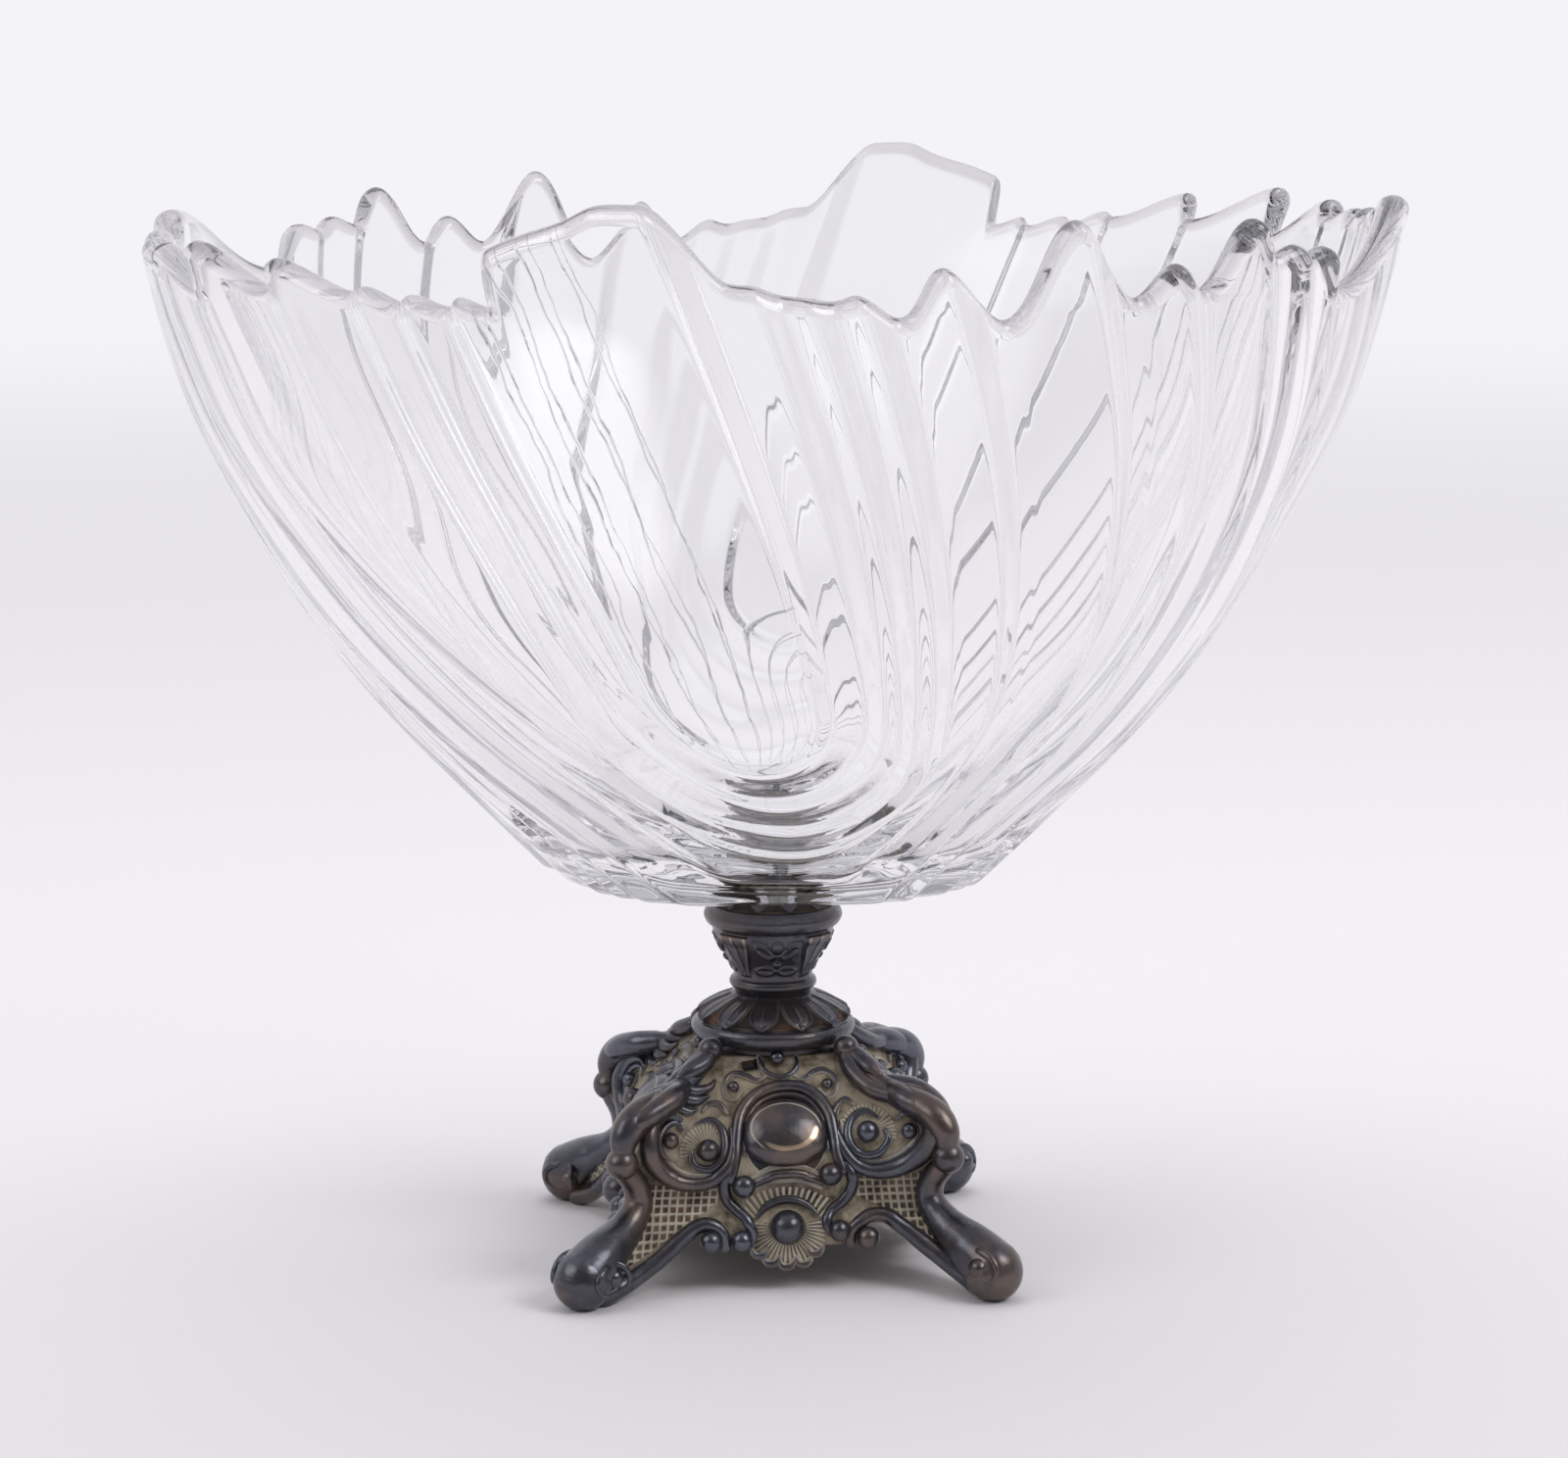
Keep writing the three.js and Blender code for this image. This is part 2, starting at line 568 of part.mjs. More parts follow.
function faceTube(line, radius, sides, steps, place = onFace) {
  const points = line.map(([across, height]) => place(across, height, ORNAMENT_LIFT));
  return taperedTube(points, [radius, radius], sides, steps);
}

function makePanel() {
  const slope = Math.atan2(FACE_LINE[3][1] - FACE_LINE[5][1], FACE_LINE[5][0] - FACE_LINE[3][0]);
  const cabochon = new THREE.SphereGeometry(1, 12, 7).rotateX(Math.PI / 2);
  cabochon.scale(CABOCHON_HALF[0], CABOCHON_HALF[2], CABOCHON_HALF[1]).rotateX(-slope);
  cabochon.translate(...onFace(...CABOCHON_AT).toArray());
  const pieces = [panelPlate(), solidOf(cabochon)];
  pieces.push(faceTube(mirrored(FRAME_LINE), FRAME_R, 5, 8), faceTube(mirrored(ARCH_LINE), ARCH_R, 4, 4));
  for (const side of [1, -1]) {
    const flip = ([across, height]) => [side * across, height];
    pieces.push(faceTube(STRAP_LINE.map(flip), STRAP_R, 4, 3));
    pieces.push(ball(onFace(...flip(PANEL_BEAD_AT)), PANEL_BEAD_R));
    pieces.push(ball(onFace(...flip(STRAP_LINE[STRAP_LINE.length - 1])), STRAP_BALL_R));
  }
  pieces.push(ball(onFace(...BOSS_AT), BOSS_R), ball(onFace(...TOP_BEAD_AT), TOP_BEAD_R));
  const reach = TOE_SPACING + TOE_R;
  const room = block(
    new THREE.Vector3(-PANEL_HALF_WIDTH, -reach, 0),
    new THREE.Vector3(PANEL_HALF_WIDTH, 0, FOOT_TOP),
  );
  const mitre = new THREE.Shape([
    new THREE.Vector2(0, -SOLDER_GAP),
    new THREE.Vector2(-reach, -reach - SOLDER_GAP),
    new THREE.Vector2(reach, -reach - SOLDER_GAP),
  ]);
  const wedge = new THREE.ExtrudeGeometry(mitre, { depth: FOOT_TOP, bevelEnabled: false });
  const pin = new THREE.CylinderGeometry(PIERCING_R, PIERCING_R, reach, 6);
  pin.translate(PIERCING_AT[0], -reach / 2, PIERCING_AT[1]);
  const trimmed = joined(pieces).intersect(room).intersect(solidOf(wedge));
  return geometryOf(trimmed.subtract(solidOf(pin)));
}

function legShell() {
  const heights = [LEG_LOW, ...LEG_ROWS, FOOT_TOP - LEG_TOP_BELOW];
  const grid = (lift) => heights.map((height) => {
    const inside = Math.max(legInside(height), PANEL_HALF_WIDTH + SOLDER_GAP);
    const corner = cornerLine(height);
    const front = LEG_SHARES.map((share) => {
      const across = lerp(inside, corner, share);
      const sunk = lerp(inside, corner + lift, share);
      return [sunk, -faceDistance(across, height) - lift, height];
    });
    const right = front.slice(0, -1).reverse().map(([x, y, z]) => [-y, -x, z]);
    return [...front, ...right];
  });
  return solidOf(slab(grid(0), grid(-FOOT_WALL)));
}

function makeLeg() {
  const seam = PANEL_HALF_WIDTH + SOLDER_GAP;
  const reach = TOE_SPACING + TOE_R;
  const knobSpacing = (COLLAR_R + CREST_KNOB_R + REST_GAP) / Math.SQRT2;
  const crestLine = [[knobSpacing, FOOT_TOP], ...CREST_LINE];
  const crest = crestLine.map(([spacing, height]) => onCorner(spacing, height));
  const rail = RAIL_LINE.map(([spacing, height]) => onCorner(spacing, height));
  const pieces = [
    legShell(),
    taperedTube(crest, [CREST_KNOB_R, ...CREST_R], 6, 7),
    taperedTube(rail, RAIL_R, 6, 5),
    ball(onCorner(...BEAD_AT), BEAD_R),
    ball(onCorner(TOE_SPACING, TOE_R - TOE_PAD_DEPTH), TOE_R, 10, 7),
  ];
  for (const place of [onFace, onRightFace]) {
    pieces.push(faceTube(VOLUTE_LINE, VOLUTE_R, 5, 6, place));
    pieces.push(faceTube(SKIRT_LINE, SKIRT_R, 4, 3, place));
    pieces.push(ball(place(...VOLUTE_EYE_AT), VOLUTE_EYE_R));
    pieces.push(ball(place(...SKIRT_LINE[0]), SKIRT_BALL_R));
  }
  const room = block(
    new THREE.Vector3(seam, -reach - TOE_R, 0),
    new THREE.Vector3(reach + TOE_R, -seam, FOOT_TOP + CREST_KNOB_R),
  );
  return geometryOf(joined(pieces).intersect(room));
}

const scaled = (shape, radius, height) => shape.map(([r, h]) => [r * radius, h * height]);

function makeCrownPlate() {
  return turnedWithBore([[CROWN_R, 0], [CROWN_R, CROWN_THICK]], BORE_R, 24);
}

function makeCollar() {
  const outline = [...scaled(COLLAR_SHAPE, COLLAR_R, COLLAR_H), [CUP_NECK_R, COLLAR_H]];
  const geometry = turnedWithBore(outline, BORE_R, 3 * COLLAR_LEAVES);
  const positions = geometry.attributes.position;
  for (let i = 0; i < positions.count; i += 1) {
    const point = new THREE.Vector3().fromBufferAttribute(positions, i);
    const radius = Math.hypot(point.x, point.y);
    const grown = clamp((point.z / COLLAR_H - COLLAR_LEAF_START) / COLLAR_LEAF_GROWTH, 0, 1);
    const isOutside = radius > CUP_NECK_R + REST_GAP;
    const wave = Math.cos(COLLAR_LEAVES * Math.atan2(point.y, point.x));
    const scale = isOutside ? 1 + (COLLAR_LEAF_DEPTH * grown * wave) / radius : 1;
    positions.setXY(i, point.x * scale, point.y * scale);
  }
  return geometry;
}

function makeCup() {
  const outline = [
    ...scaled(CUP_NECK_SHAPE, CUP_NECK_R, CUP_H),
    ...scaled(CUP_LIP_SHAPE, CUP_LIP_R, CUP_H),
    [CUP_SEAT_R, CUP_SEAT_SHARE * CUP_H],
    [CUP_SEAT_R, CUP_H],
  ];
  return turnedWithBore(outline, BORE_R, 20);
}

const makeWasher = (radius, height) => turnedWithBore([[radius, 0], [radius, height]], BORE_R, 20);

function makeSleeve() {
  return turnedWithBore([[SLEEVE_R, 0], [SLEEVE_R, BOWL_FLOOR]], BORE_R, 20);
}

function makeCap() {
  const domeSteps = 4;
  const outline = [[BORE_R, CAP_THREAD_DEPTH], [BORE_R, 0], [CAP_R, 0], [CAP_R, CAP_RIM_H]];
  for (let i = 1; i < domeSteps; i += 1) {
    const turn = radians((QUARTER_TURN * i) / domeSteps);
    outline.push([CAP_R * Math.cos(turn), CAP_RIM_H + (CAP_H - CAP_RIM_H) * Math.sin(turn)]);
  }
  return turned([[0, CAP_THREAD_DEPTH], ...outline, [0, CAP_H]], 20);
}

function makeNut() {
  const shape = new THREE.Shape();
  for (let i = 0; i < 6; i += 1) {
    const turn = radians(60 * i);
    const radius = NUT_ACROSS_FLATS / Math.sqrt(3);
    shape[i === 0 ? "moveTo" : "lineTo"](radius * Math.cos(turn), radius * Math.sin(turn));
  }
  shape.closePath();
  shape.holes.push(new THREE.Path().absarc(0, 0, BORE_R, 0, 2 * Math.PI, true));
  return new THREE.ExtrudeGeometry(shape, { depth: NUT_H, bevelEnabled: false, curveSegments: 20 });
}

function makeRod() {
  const length = ROD_TOP - ROD_Z;
  const end = ROD_R - ROD_BEVEL;
  return turned([[0, 0], [end, 0], [ROD_R, ROD_BEVEL], [ROD_R, length - ROD_BEVEL], [end, length],
    [0, length]], 16);
}

// Materials
const finish = (color, roughness, metalness, more = {}) =>
  new THREE.MeshStandardMaterial({ color, roughness, metalness, ...more });
const OXIDISED_SILVER = finish(0x4a4b50, 0.42, 0.9);
const DARK_METAL = finish(0x3c3a38, 0.5, 0.85);
const STEEL = finish(0x8c8c8a, 0.4, 1);
const CLEAR_GLASS = finish(0xf4f5f7, 0.03, 0, { transparent: true, opacity: 0.35 });
const CLEAR_PLASTIC = finish(0xe6e6e2, 0.3, 0, { transparent: true, opacity: 0.8 });
const GREY_RUBBER = finish(0xa8a69f, 0.8, 0);

function addPiece(parent, name, geometry, material, height = 0) {
  const mesh = new THREE.Mesh(geometry, material);
  mesh.name = name;
  mesh.position.z = height;
  parent.add(mesh);
}

const group = new THREE.Group();
addPiece(group, "glass_bowl", makeBowl(), CLEAR_GLASS, BOWL_Z);
addPiece(group, "bowl_cap", makeCap(), DARK_METAL, CAP_Z);
addPiece(group, "cap_washer", makeWasher(CAP_WASHER_R, CAP_WASHER_H), GREY_RUBBER, CAP_WASHER_Z);
addPiece(group, "hole_sleeve", makeSleeve(), CLEAR_PLASTIC, BOWL_Z);
addPiece(group, "seat_washer", makeWasher(SEAT_WASHER_R, SEAT_WASHER_H), GREY_RUBBER, SEAT_WASHER_Z);
addPiece(group, "stem_cup", makeCup(), OXIDISED_SILVER, CUP_Z);
addPiece(group, "leaf_collar", makeCollar(), OXIDISED_SILVER, COLLAR_Z);
addPiece(group, "crown_plate", makeCrownPlate(), OXIDISED_SILVER, CROWN_Z);
addPiece(group, "spreader_plate", makeWasher(SPREADER_R, SPREADER_H), STEEL, SPREADER_Z);
addPiece(group, "lock_washer", makeWasher(LOCK_WASHER_R, LOCK_WASHER_H), STEEL, LOCK_WASHER_Z);
addPiece(group, "base_nut", makeNut(), STEEL, NUT_Z);
addPiece(group, "tie_rod", makeRod(), STEEL, ROD_Z);

const panelGeometry = makePanel();
const legGeometry = makeLeg();
const PANEL_NAMES = ["front", "right", "back", "left"];
const LEG_NAMES = ["front_right", "back_right", "back_left", "front_left"];
for (let quarter = 0; quarter < 4; quarter += 1) {
  const corner = new THREE.Group();
  corner.rotation.z = radians(QUARTER_TURN * quarter);
  addPiece(corner, `side_panel_${PANEL_NAMES[quarter]}`, panelGeometry, OXIDISED_SILVER);
  addPiece(corner, `leg_${LEG_NAMES[quarter]}`, legGeometry, OXIDISED_SILVER);
  group.add(corner);
}

export default group;
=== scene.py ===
import math

import bpy
import numpy as np
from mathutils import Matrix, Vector


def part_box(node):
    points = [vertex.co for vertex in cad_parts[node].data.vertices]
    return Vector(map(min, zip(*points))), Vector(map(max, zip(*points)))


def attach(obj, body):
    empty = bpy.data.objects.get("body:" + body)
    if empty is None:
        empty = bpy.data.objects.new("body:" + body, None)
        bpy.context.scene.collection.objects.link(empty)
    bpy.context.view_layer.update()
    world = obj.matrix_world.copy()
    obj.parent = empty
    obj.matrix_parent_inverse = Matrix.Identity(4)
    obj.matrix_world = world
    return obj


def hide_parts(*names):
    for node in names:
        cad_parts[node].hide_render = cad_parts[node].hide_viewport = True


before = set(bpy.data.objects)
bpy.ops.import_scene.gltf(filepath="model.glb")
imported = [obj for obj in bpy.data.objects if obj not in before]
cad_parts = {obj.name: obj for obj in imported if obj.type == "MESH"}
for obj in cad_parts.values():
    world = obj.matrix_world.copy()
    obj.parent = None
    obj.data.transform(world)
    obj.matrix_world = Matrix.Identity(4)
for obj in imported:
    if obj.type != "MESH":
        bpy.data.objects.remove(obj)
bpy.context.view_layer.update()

MM = 0.001
UP = np.array([0.0, 0.0, 1.0])
TUBE_RINGS_PER_MM = 2.4
TUBE_FIRST_WAY = (0.31, 0.17, 0.93)


def box_mm(node):
    low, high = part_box(node)
    return np.array(low) / MM, np.array(high) / MM


# Small maths

def smooth(t):
    t = np.clip(t, 0.0, 1.0)
    return t * t * (3 - 2 * t)


def window(value, low, rise, high, fall):
    """1 where value lies between low and high, with soft edges: rise wide at low and fall wide at high."""
    return smooth((value - low) / rise) * smooth((high - value) / fall)


def crest(off, width):
    """1 on a line, and softly falling off to both sides of it."""
    return np.exp(-(off / width) ** 2)


def dome(off, radius):
    """A round bump of height 1."""
    return np.sqrt(np.maximum(1 - (off / radius) ** 2, 0))


def curve_through(pairs):
    """A smooth curve through [position, value] pairs in rising order."""
    x, y = np.array(pairs, float).T
    i = np.arange(len(x))
    before = np.maximum(i - 1, 0)
    after = np.minimum(i + 1, len(x) - 1)
    slope = (y[after] - y[before]) / (x[after] - x[before])

    def value(position):
        at = np.clip(position, x[0], x[-1])
        k = np.clip(np.searchsorted(x, at), 1, len(x) - 1) - 1
        step = x[k + 1] - x[k]
        t = (at - x[k]) / step
        ends = y[k] * (1 + 2 * t) * (1 - t) ** 2 + y[k + 1] * t * t * (3 - 2 * t)
        return ends + step * (slope[k] * t * (1 - t) ** 2 - slope[k + 1] * t * t * (1 - t))

    return value


def lines_through(pairs):
    x, y = np.array(pairs, float).T
    return lambda position: np.interp(position, x, y)


def resampled(points, count):
    """A smooth curve through points, as evenly spaced points."""
    p = np.array(points, float)
    ends = [2 * p[0] - p[1], *p, 2 * p[-1] - p[-2]]
    dense = []
    for a, b, c, d in zip(ends, ends[1:], ends[2:], ends[3:]):
        for t in np.linspace(0, 1, 16, endpoint=False):
            bend = (2 * a - 5 * b + 4 * c - d) * t * t + (3 * b - a - 3 * c + d) * t ** 3
            dense.append(0.5 * (2 * b + (c - a) * t + bend))
    dense.append(p[-1])
    dense = np.array(dense)
    along = np.concatenate([[0], np.cumsum(np.linalg.norm(np.diff(dense, axis=0), axis=1))])
    where = np.linspace(0, along[-1], count)
    return np.stack([np.interp(where, along, dense[:, k]) for k in range(p.shape[1])], 1)


# Meshes: a shape is a pair of arrays, its points in millimetres and its faces

def grid_faces(rows, across, closed=False, offset=0, flip=False):
    r = np.arange(rows - 1)[:, None]
    c = np.arange(across if closed else across - 1)[None, :]
    n = (c + 1) % across
    quads = np.stack([r * across + c, r * across + n, (r + 1) * across + n, (r + 1) * across + c], -1)
    quads = quads.reshape(-1, 4) + offset
    return quads[:, ::-1] if flip else quads


def loop_faces(rows, around):
    """Faces of a closed body of rings whose last ring joins its first."""
    here = np.arange(around)
    after = (here + 1) % around
    last = (rows - 1) * around
    join = np.stack([last + here, last + after, after, here], 1)
    return np.concatenate([grid_faces(rows, around, closed=True), join])


def capped_faces(rows, around):
    """Faces of rings one behind another, with a fan to each of the two tips that follow them."""
    here = np.arange(around)
    after = (here + 1) % around
    tip = rows * around
    last = tip - around
    low = np.stack([np.full(around, tip), here, after, after], 1)
    high = np.stack([np.full(around, tip + 1), last + after, last + here, last + here], 1)
    return np.concatenate([grid_faces(rows, around, closed=True, flip=True), low, high])


def merged(shapes):
    points, faces, start = [], [], 0
    for p, f in shapes:
        points.append(p)
        faces.append(f + start)
        start += len(p)
    return np.concatenate(points), np.concatenate(faces)


def turned_about(shape, degrees):
    points, faces = shape
    c, s = math.cos(math.radians(degrees)), math.sin(math.radians(degrees))
    x, y, z = points.T
    return np.stack([c * x - s * y, s * x + c * y, z], 1), faces


def slab(outer, inner, skip):
    """A closed wall between two grids of points of one size, with the cells of skip left open."""
    rows, across = outer.shape[:2]
    count = rows * across
    keep = ~skip
    cells = keep.reshape(-1)
    faces = [grid_faces(rows, across)[cells], grid_faces(rows, across, offset=count, flip=True)[cells]]
    padded = np.zeros((rows + 1, across + 1), bool)
    padded[1:-1, 1:-1] = keep
    index = np.arange(count).reshape(rows, across)
    below, above = padded[:-1, 1:-1], padded[1:, 1:-1]
    left, right = padded[1:-1, :-1], padded[1:-1, 1:]
    # Each kind of edge: its closed side, its open side, 1 where it runs up, and whether its faces are turned
    edges = [(above, below, 0, False), (below, above, 0, True),
             (right, left, 1, True), (left, right, 1, False)]
    for here, there, upward, turn in edges:
        r, c = np.nonzero(here & ~there)
        a, b = index[r, c], index[r + upward, c + 1 - upward]
        if turn:
            a, b = b, a
        faces.append(np.stack([a, a + count, b + count, b], 1))
    points = np.concatenate([outer.reshape(-1, 3), inner.reshape(-1, 3)])
    return points, np.concatenate(faces)


def along_radii(radii, count):
    """Radii spread evenly over count places on a line."""
    return curve_through([[i / (len(radii) - 1), r] for i, r in enumerate(radii)])(np.linspace(0, 1, count))


def tube(points, radii, sides=14):
    """A tube of changing radius along points, with round ends."""
    length = np.linalg.norm(np.diff(resampled(points, 40), axis=0), axis=1).sum()
    count = max(int(length * TUBE_RINGS_PER_MM), 8)
    middle = resampled(points, count)
    radius = along_radii(radii, count)
    along = np.gradient(middle, axis=0)
    along /= np.linalg.norm(along, axis=1)[:, None]

    def round_end(k, way):
        return [(middle[k] + way * along[k] * radius[k] * math.sin(t), radius[k] * math.cos(t), along[k])
                for t in np.radians([80, 60, 40, 20])]
    rings = [*round_end(0, -1), *zip(middle, radius, along), *round_end(-1, 1)[::-1]]
    side = np.cross(along[0], TUBE_FIRST_WAY)
    side /= np.linalg.norm(side)
    turn = np.linspace(0, 2 * math.pi, sides, endpoint=False)
    out = []
    for m, r, a in rings:
        side = side - a * (side @ a)
        side /= np.linalg.norm(side)
        out.append(m + r * (np.cos(turn)[:, None] * side + np.sin(turn)[:, None] * np.cross(a, side)))
    tips = [middle[0] - along[0] * radius[0], middle[-1] + along[-1] * radius[-1]]
    return np.concatenate([*out, tips]), capped_faces(len(out), sides)


def ball(centre, radius, around=28, down=18):
    turn = np.linspace(0, 2 * math.pi, around, endpoint=False)
    falls = np.linspace(0, math.pi, down + 1)[1:-1]
    rings = [np.stack([math.sin(fall) * np.cos(turn), math.sin(fall) * np.sin(turn),
                       np.full(around, math.cos(fall))], 1) for fall in falls]
    points = np.concatenate([*rings, [[0, 0, 1], [0, 0, -1]]]) * radius
    return points + np.array(centre), capped_faces(len(rings), around)


def turned_grid(outline, around, radius_change=None):
    """A closed body turned on Z from a closed outline of [radius, height] rows."""
    turn = np.linspace(0, 2 * math.pi, around, endpoint=False)
    radius = np.repeat(outline[:, 0][:, None], around, 1)
    height = np.repeat(outline[:, 1][:, None], around, 1)
    if radius_change is not None:
        radius = radius + radius_change(turn[None, :], height, radius)
    points = np.stack([radius * np.cos(turn), radius * np.sin(turn), height], -1).reshape(-1, 3)
    return points, loop_faces(len(outline), around)


def add_piece(name, shape, material, slot_name, replaces, edge_split=None, **point_values):
    points, faces = shape
    mesh = bpy.data.meshes.new(name)
    mesh.vertices.add(len(points))
    mesh.vertices.foreach_set("co", (points * MM).astype(np.float32).ravel())
    triangle = faces[:, 2] == faces[:, 3]
    size = np.where(triangle, 3, 4)
    corner_keep = np.ones(faces.shape, bool)
    corner_keep[triangle, 3] = False
    mesh.loops.add(int(size.sum()))
    mesh.loops.foreach_set("vertex_index", faces[corner_keep].astype(np.int32))
    mesh.polygons.add(len(faces))
    starts = np.concatenate([[0], np.cumsum(size)[:-1]])
    mesh.polygons.foreach_set("loop_start", starts.astype(np.int32))
    mesh.update(calc_edges=True)
    mesh.validate()
    mesh.shade_smooth()
    for value_name, values in point_values.items():
        attribute = mesh.attributes.new(value_name, "FLOAT", "POINT")
        attribute.data.foreach_set("value", np.asarray(values, np.float32))
    mesh.materials.append(material)
    piece = bpy.data.objects.new(name, mesh)
    bpy.context.scene.collection.objects.link(piece)
    if edge_split is not None:
        mesh.set_sharp_from_angle(angle=math.radians(edge_split))
    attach(piece, "root")
    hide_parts(replaces)


# Node materials

def node_material(name):
    material = bpy.data.materials.new(name)
    material.use_nodes = True
    tree = material.node_tree
    return material, tree, tree.nodes["Principled BSDF"]


def set_inputs(tree, node, inputs):
    """Sets a node's inputs, by name or number, to values, or links other nodes' outputs to them."""
    for key, value in inputs.items():
        socket = node.inputs[key]
        if isinstance(value, bpy.types.NodeSocket):
            tree.links.new(value, socket)
        else:
            socket.default_value = (*value, 1) if socket.type == "RGBA" else value


def add_node(tree, kind, inputs=None, **settings):
    node = tree.nodes.new(kind)
    for name, value in settings.items():
        setattr(node, name, value)
    set_inputs(tree, node, inputs or {})
    return node


def noise(tree, scale, detail=4.0, roughness=0.55, stretch=(1, 1, 1), seed=0.0):
    place = add_node(tree, "ShaderNodeTexCoord").outputs["Object"]
    moved = {"Vector": place, "Scale": stretch, "Location": (seed, seed * 0.7, seed * 1.3)}
    grain = {"Vector": add_node(tree, "ShaderNodeMapping", moved).outputs["Vector"],
             "Scale": scale, "Detail": detail, "Roughness": roughness}
    return add_node(tree, "ShaderNodeTexNoise", grain).outputs["Fac"]


def ramp(tree, source, stops):
    node = add_node(tree, "ShaderNodeValToRGB", {"Fac": source})
    elements = node.color_ramp.elements
    elements[0].position, elements[0].color = stops[0][0], (*stops[0][1], 1)
    elements[1].position, elements[1].color = stops[-1][0], (*stops[-1][1], 1)
    for position, color in stops[1:-1]:
        element = elements.new(position)
        element.color = (*color, 1)
    return node.outputs["Color"]


def mix_color(tree, share, first, second):
    return add_node(tree, "ShaderNodeMix", {0: share, 6: first, 7: second}, data_type="RGBA").outputs[2]


def maths(tree, operation, first, second=0.0, clamp=False):
    numbers = {0: first, 1: second}
    return add_node(tree, "ShaderNodeMath", numbers, operation=operation, use_clamp=clamp).outputs[0]


def between(tree, source, low, high, out_low=0.0, out_high=1.0, way="LINEAR"):
    """Goes from out_low to out_high as source goes from low to high."""
    ends = {"Value": source, "From Min": low, "From Max": high, "To Min": out_low, "To Max": out_high}
    return add_node(tree, "ShaderNodeMapRange", ends, clamp=True, interpolation_type=way).outputs["Result"]


def bump(tree, shader, height, distance, strength):
    node = add_node(tree, "ShaderNodeBump", {"Strength": strength, "Distance": distance, "Height": height})
    set_inputs(tree, shader, {"Normal": node.outputs["Normal"]})


def attribute_value(tree, name):
    return add_node(tree, "ShaderNodeAttribute", attribute_name=name).outputs["Fac"]


def ray(tree, kind):
    """1 on rays of one kind: Camera, Shadow, Glossy or Transmission."""
    return add_node(tree, "ShaderNodeLightPath").outputs[f"Is {kind} Ray"]


def set_surface(tree, share, first, second):
    """The material's surface is first where share is 0 and second where it is 1."""
    both = add_node(tree, "ShaderNodeMixShader", {0: share, 1: first.outputs[0], 2: second.outputs[0]})
    set_inputs(tree, tree.nodes["Material Output"], {"Surface": both.outputs[0]})


GLASS_FACE = (0.995, 0.995, 0.995)
GLASS_BODY = (0.79, 0.78, 0.81)
GLASS_DENSITY = 3.0
GLASS_IOR = 1.52
GLASS_SHADOW = (0.93, 0.93, 0.94)
CHILL_LINE_SHADE = (0.20, 0.21, 0.24)
CHILL_LINES_ACROSS = 3.9
CHILL_LINE_BREADTH = (0.02, 0.075)
LIP_SHADE_GREY = (0.50, 0.49, 0.52)


def glass_material():
    """Clear pressed glass, faintly uneven, with thin wavy chill lines in the front tongue, their dark grey
    painted shade, and painted grey shade along the top of the rim.
    """
    material, tree, shader = node_material("pressed_glass")
    faint = between(tree, noise(tree, 60.0, 3.0), 0.35, 0.75, 0.0, 0.012)
    fold = attribute_value(tree, "fold")
    wander = maths(tree, "SUBTRACT", noise(tree, 62.0, 3.0, 0.5, (1, 1, 0.7), 2.0), 0.5)
    spread = maths(tree, "MULTIPLY", fold, CHILL_LINES_ACROSS)
    steps = maths(tree, "FRACT", maths(tree, "ADD", spread, wander))
    off = maths(tree, "ABSOLUTE", maths(tree, "SUBTRACT", steps, 0.5))
    breadth = between(tree, noise(tree, 45.0, 2.0, seed=6.0), 0.3, 0.7, *CHILL_LINE_BREADTH)
    thin = maths(tree, "SUBTRACT", 1.0, maths(tree, "DIVIDE", off, breadth), clamp=True)
    line = maths(tree, "MULTIPLY", thin, between(tree, fold, 0.06, 0.12))
    # The chill lines are real ripples, given in the bump below; their dark grey in the colour is painted
    # shade
    color = mix_color(tree, maths(tree, "MULTIPLY", line, 0.8), GLASS_FACE, CHILL_LINE_SHADE)
    # Painted shade: the top of the rim is painted grey, as it looks in shade
    color = mix_color(tree, attribute_value(tree, "lip"), color, LIP_SHADE_GREY)
    look = {"Base Color": color, "Roughness": faint, "Transmission Weight": 1.0, "IOR": GLASS_IOR}
    set_inputs(tree, shader, look)
    uneven = noise(tree, 26.0, 1.0, 0.4, (1, 1, 0.6))
    bump(tree, shader, maths(tree, "ADD", uneven, maths(tree, "MULTIPLY", line, 0.3)), 0.0004, 0.12)
    # Lamps reach what is behind the glass, a little dimmed at each face they come through
    clear = add_node(tree, "ShaderNodeBsdfTransparent", {"Color": GLASS_SHADOW})
    set_surface(tree, ray(tree, "Shadow"), shader, clear)
    body = add_node(tree, "ShaderNodeVolumeAbsorption", {"Color": GLASS_BODY, "Density": GLASS_DENSITY})
    set_inputs(tree, tree.nodes["Material Output"], {"Volume": body.outputs["Volume"]})
    return material


SILVER_DARK = (0.090, 0.088, 0.100)
SILVER_BLUE = (0.150, 0.160, 0.195)
SILVER_WARM = (0.200, 0.150, 0.120)
GRIME_PALE = (0.30, 0.255, 0.19)
GRIME_BROWN = (0.075, 0.052, 0.035)
RIDGE_PALE = (0.52, 0.48, 0.40)
PIT_SHADE = (0.020, 0.015, 0.012)
PIT_COPPER = (0.105, 0.046, 0.026)
WORN_HIGHLIGHT = (0.70, 0.52, 0.38)
# Relief over which each level comes in, in millimetres out of the skin
OUT_OF_PIT = (-0.38, -0.08)
ON_RIDGE = (0.12, 0.34)
CLEAN_METAL = (0.5, 0.95)
WORN_HIGHLIGHT_RELIEF = (3.6, 5.0)
RELIEF_UNEVENNESS = 0.4


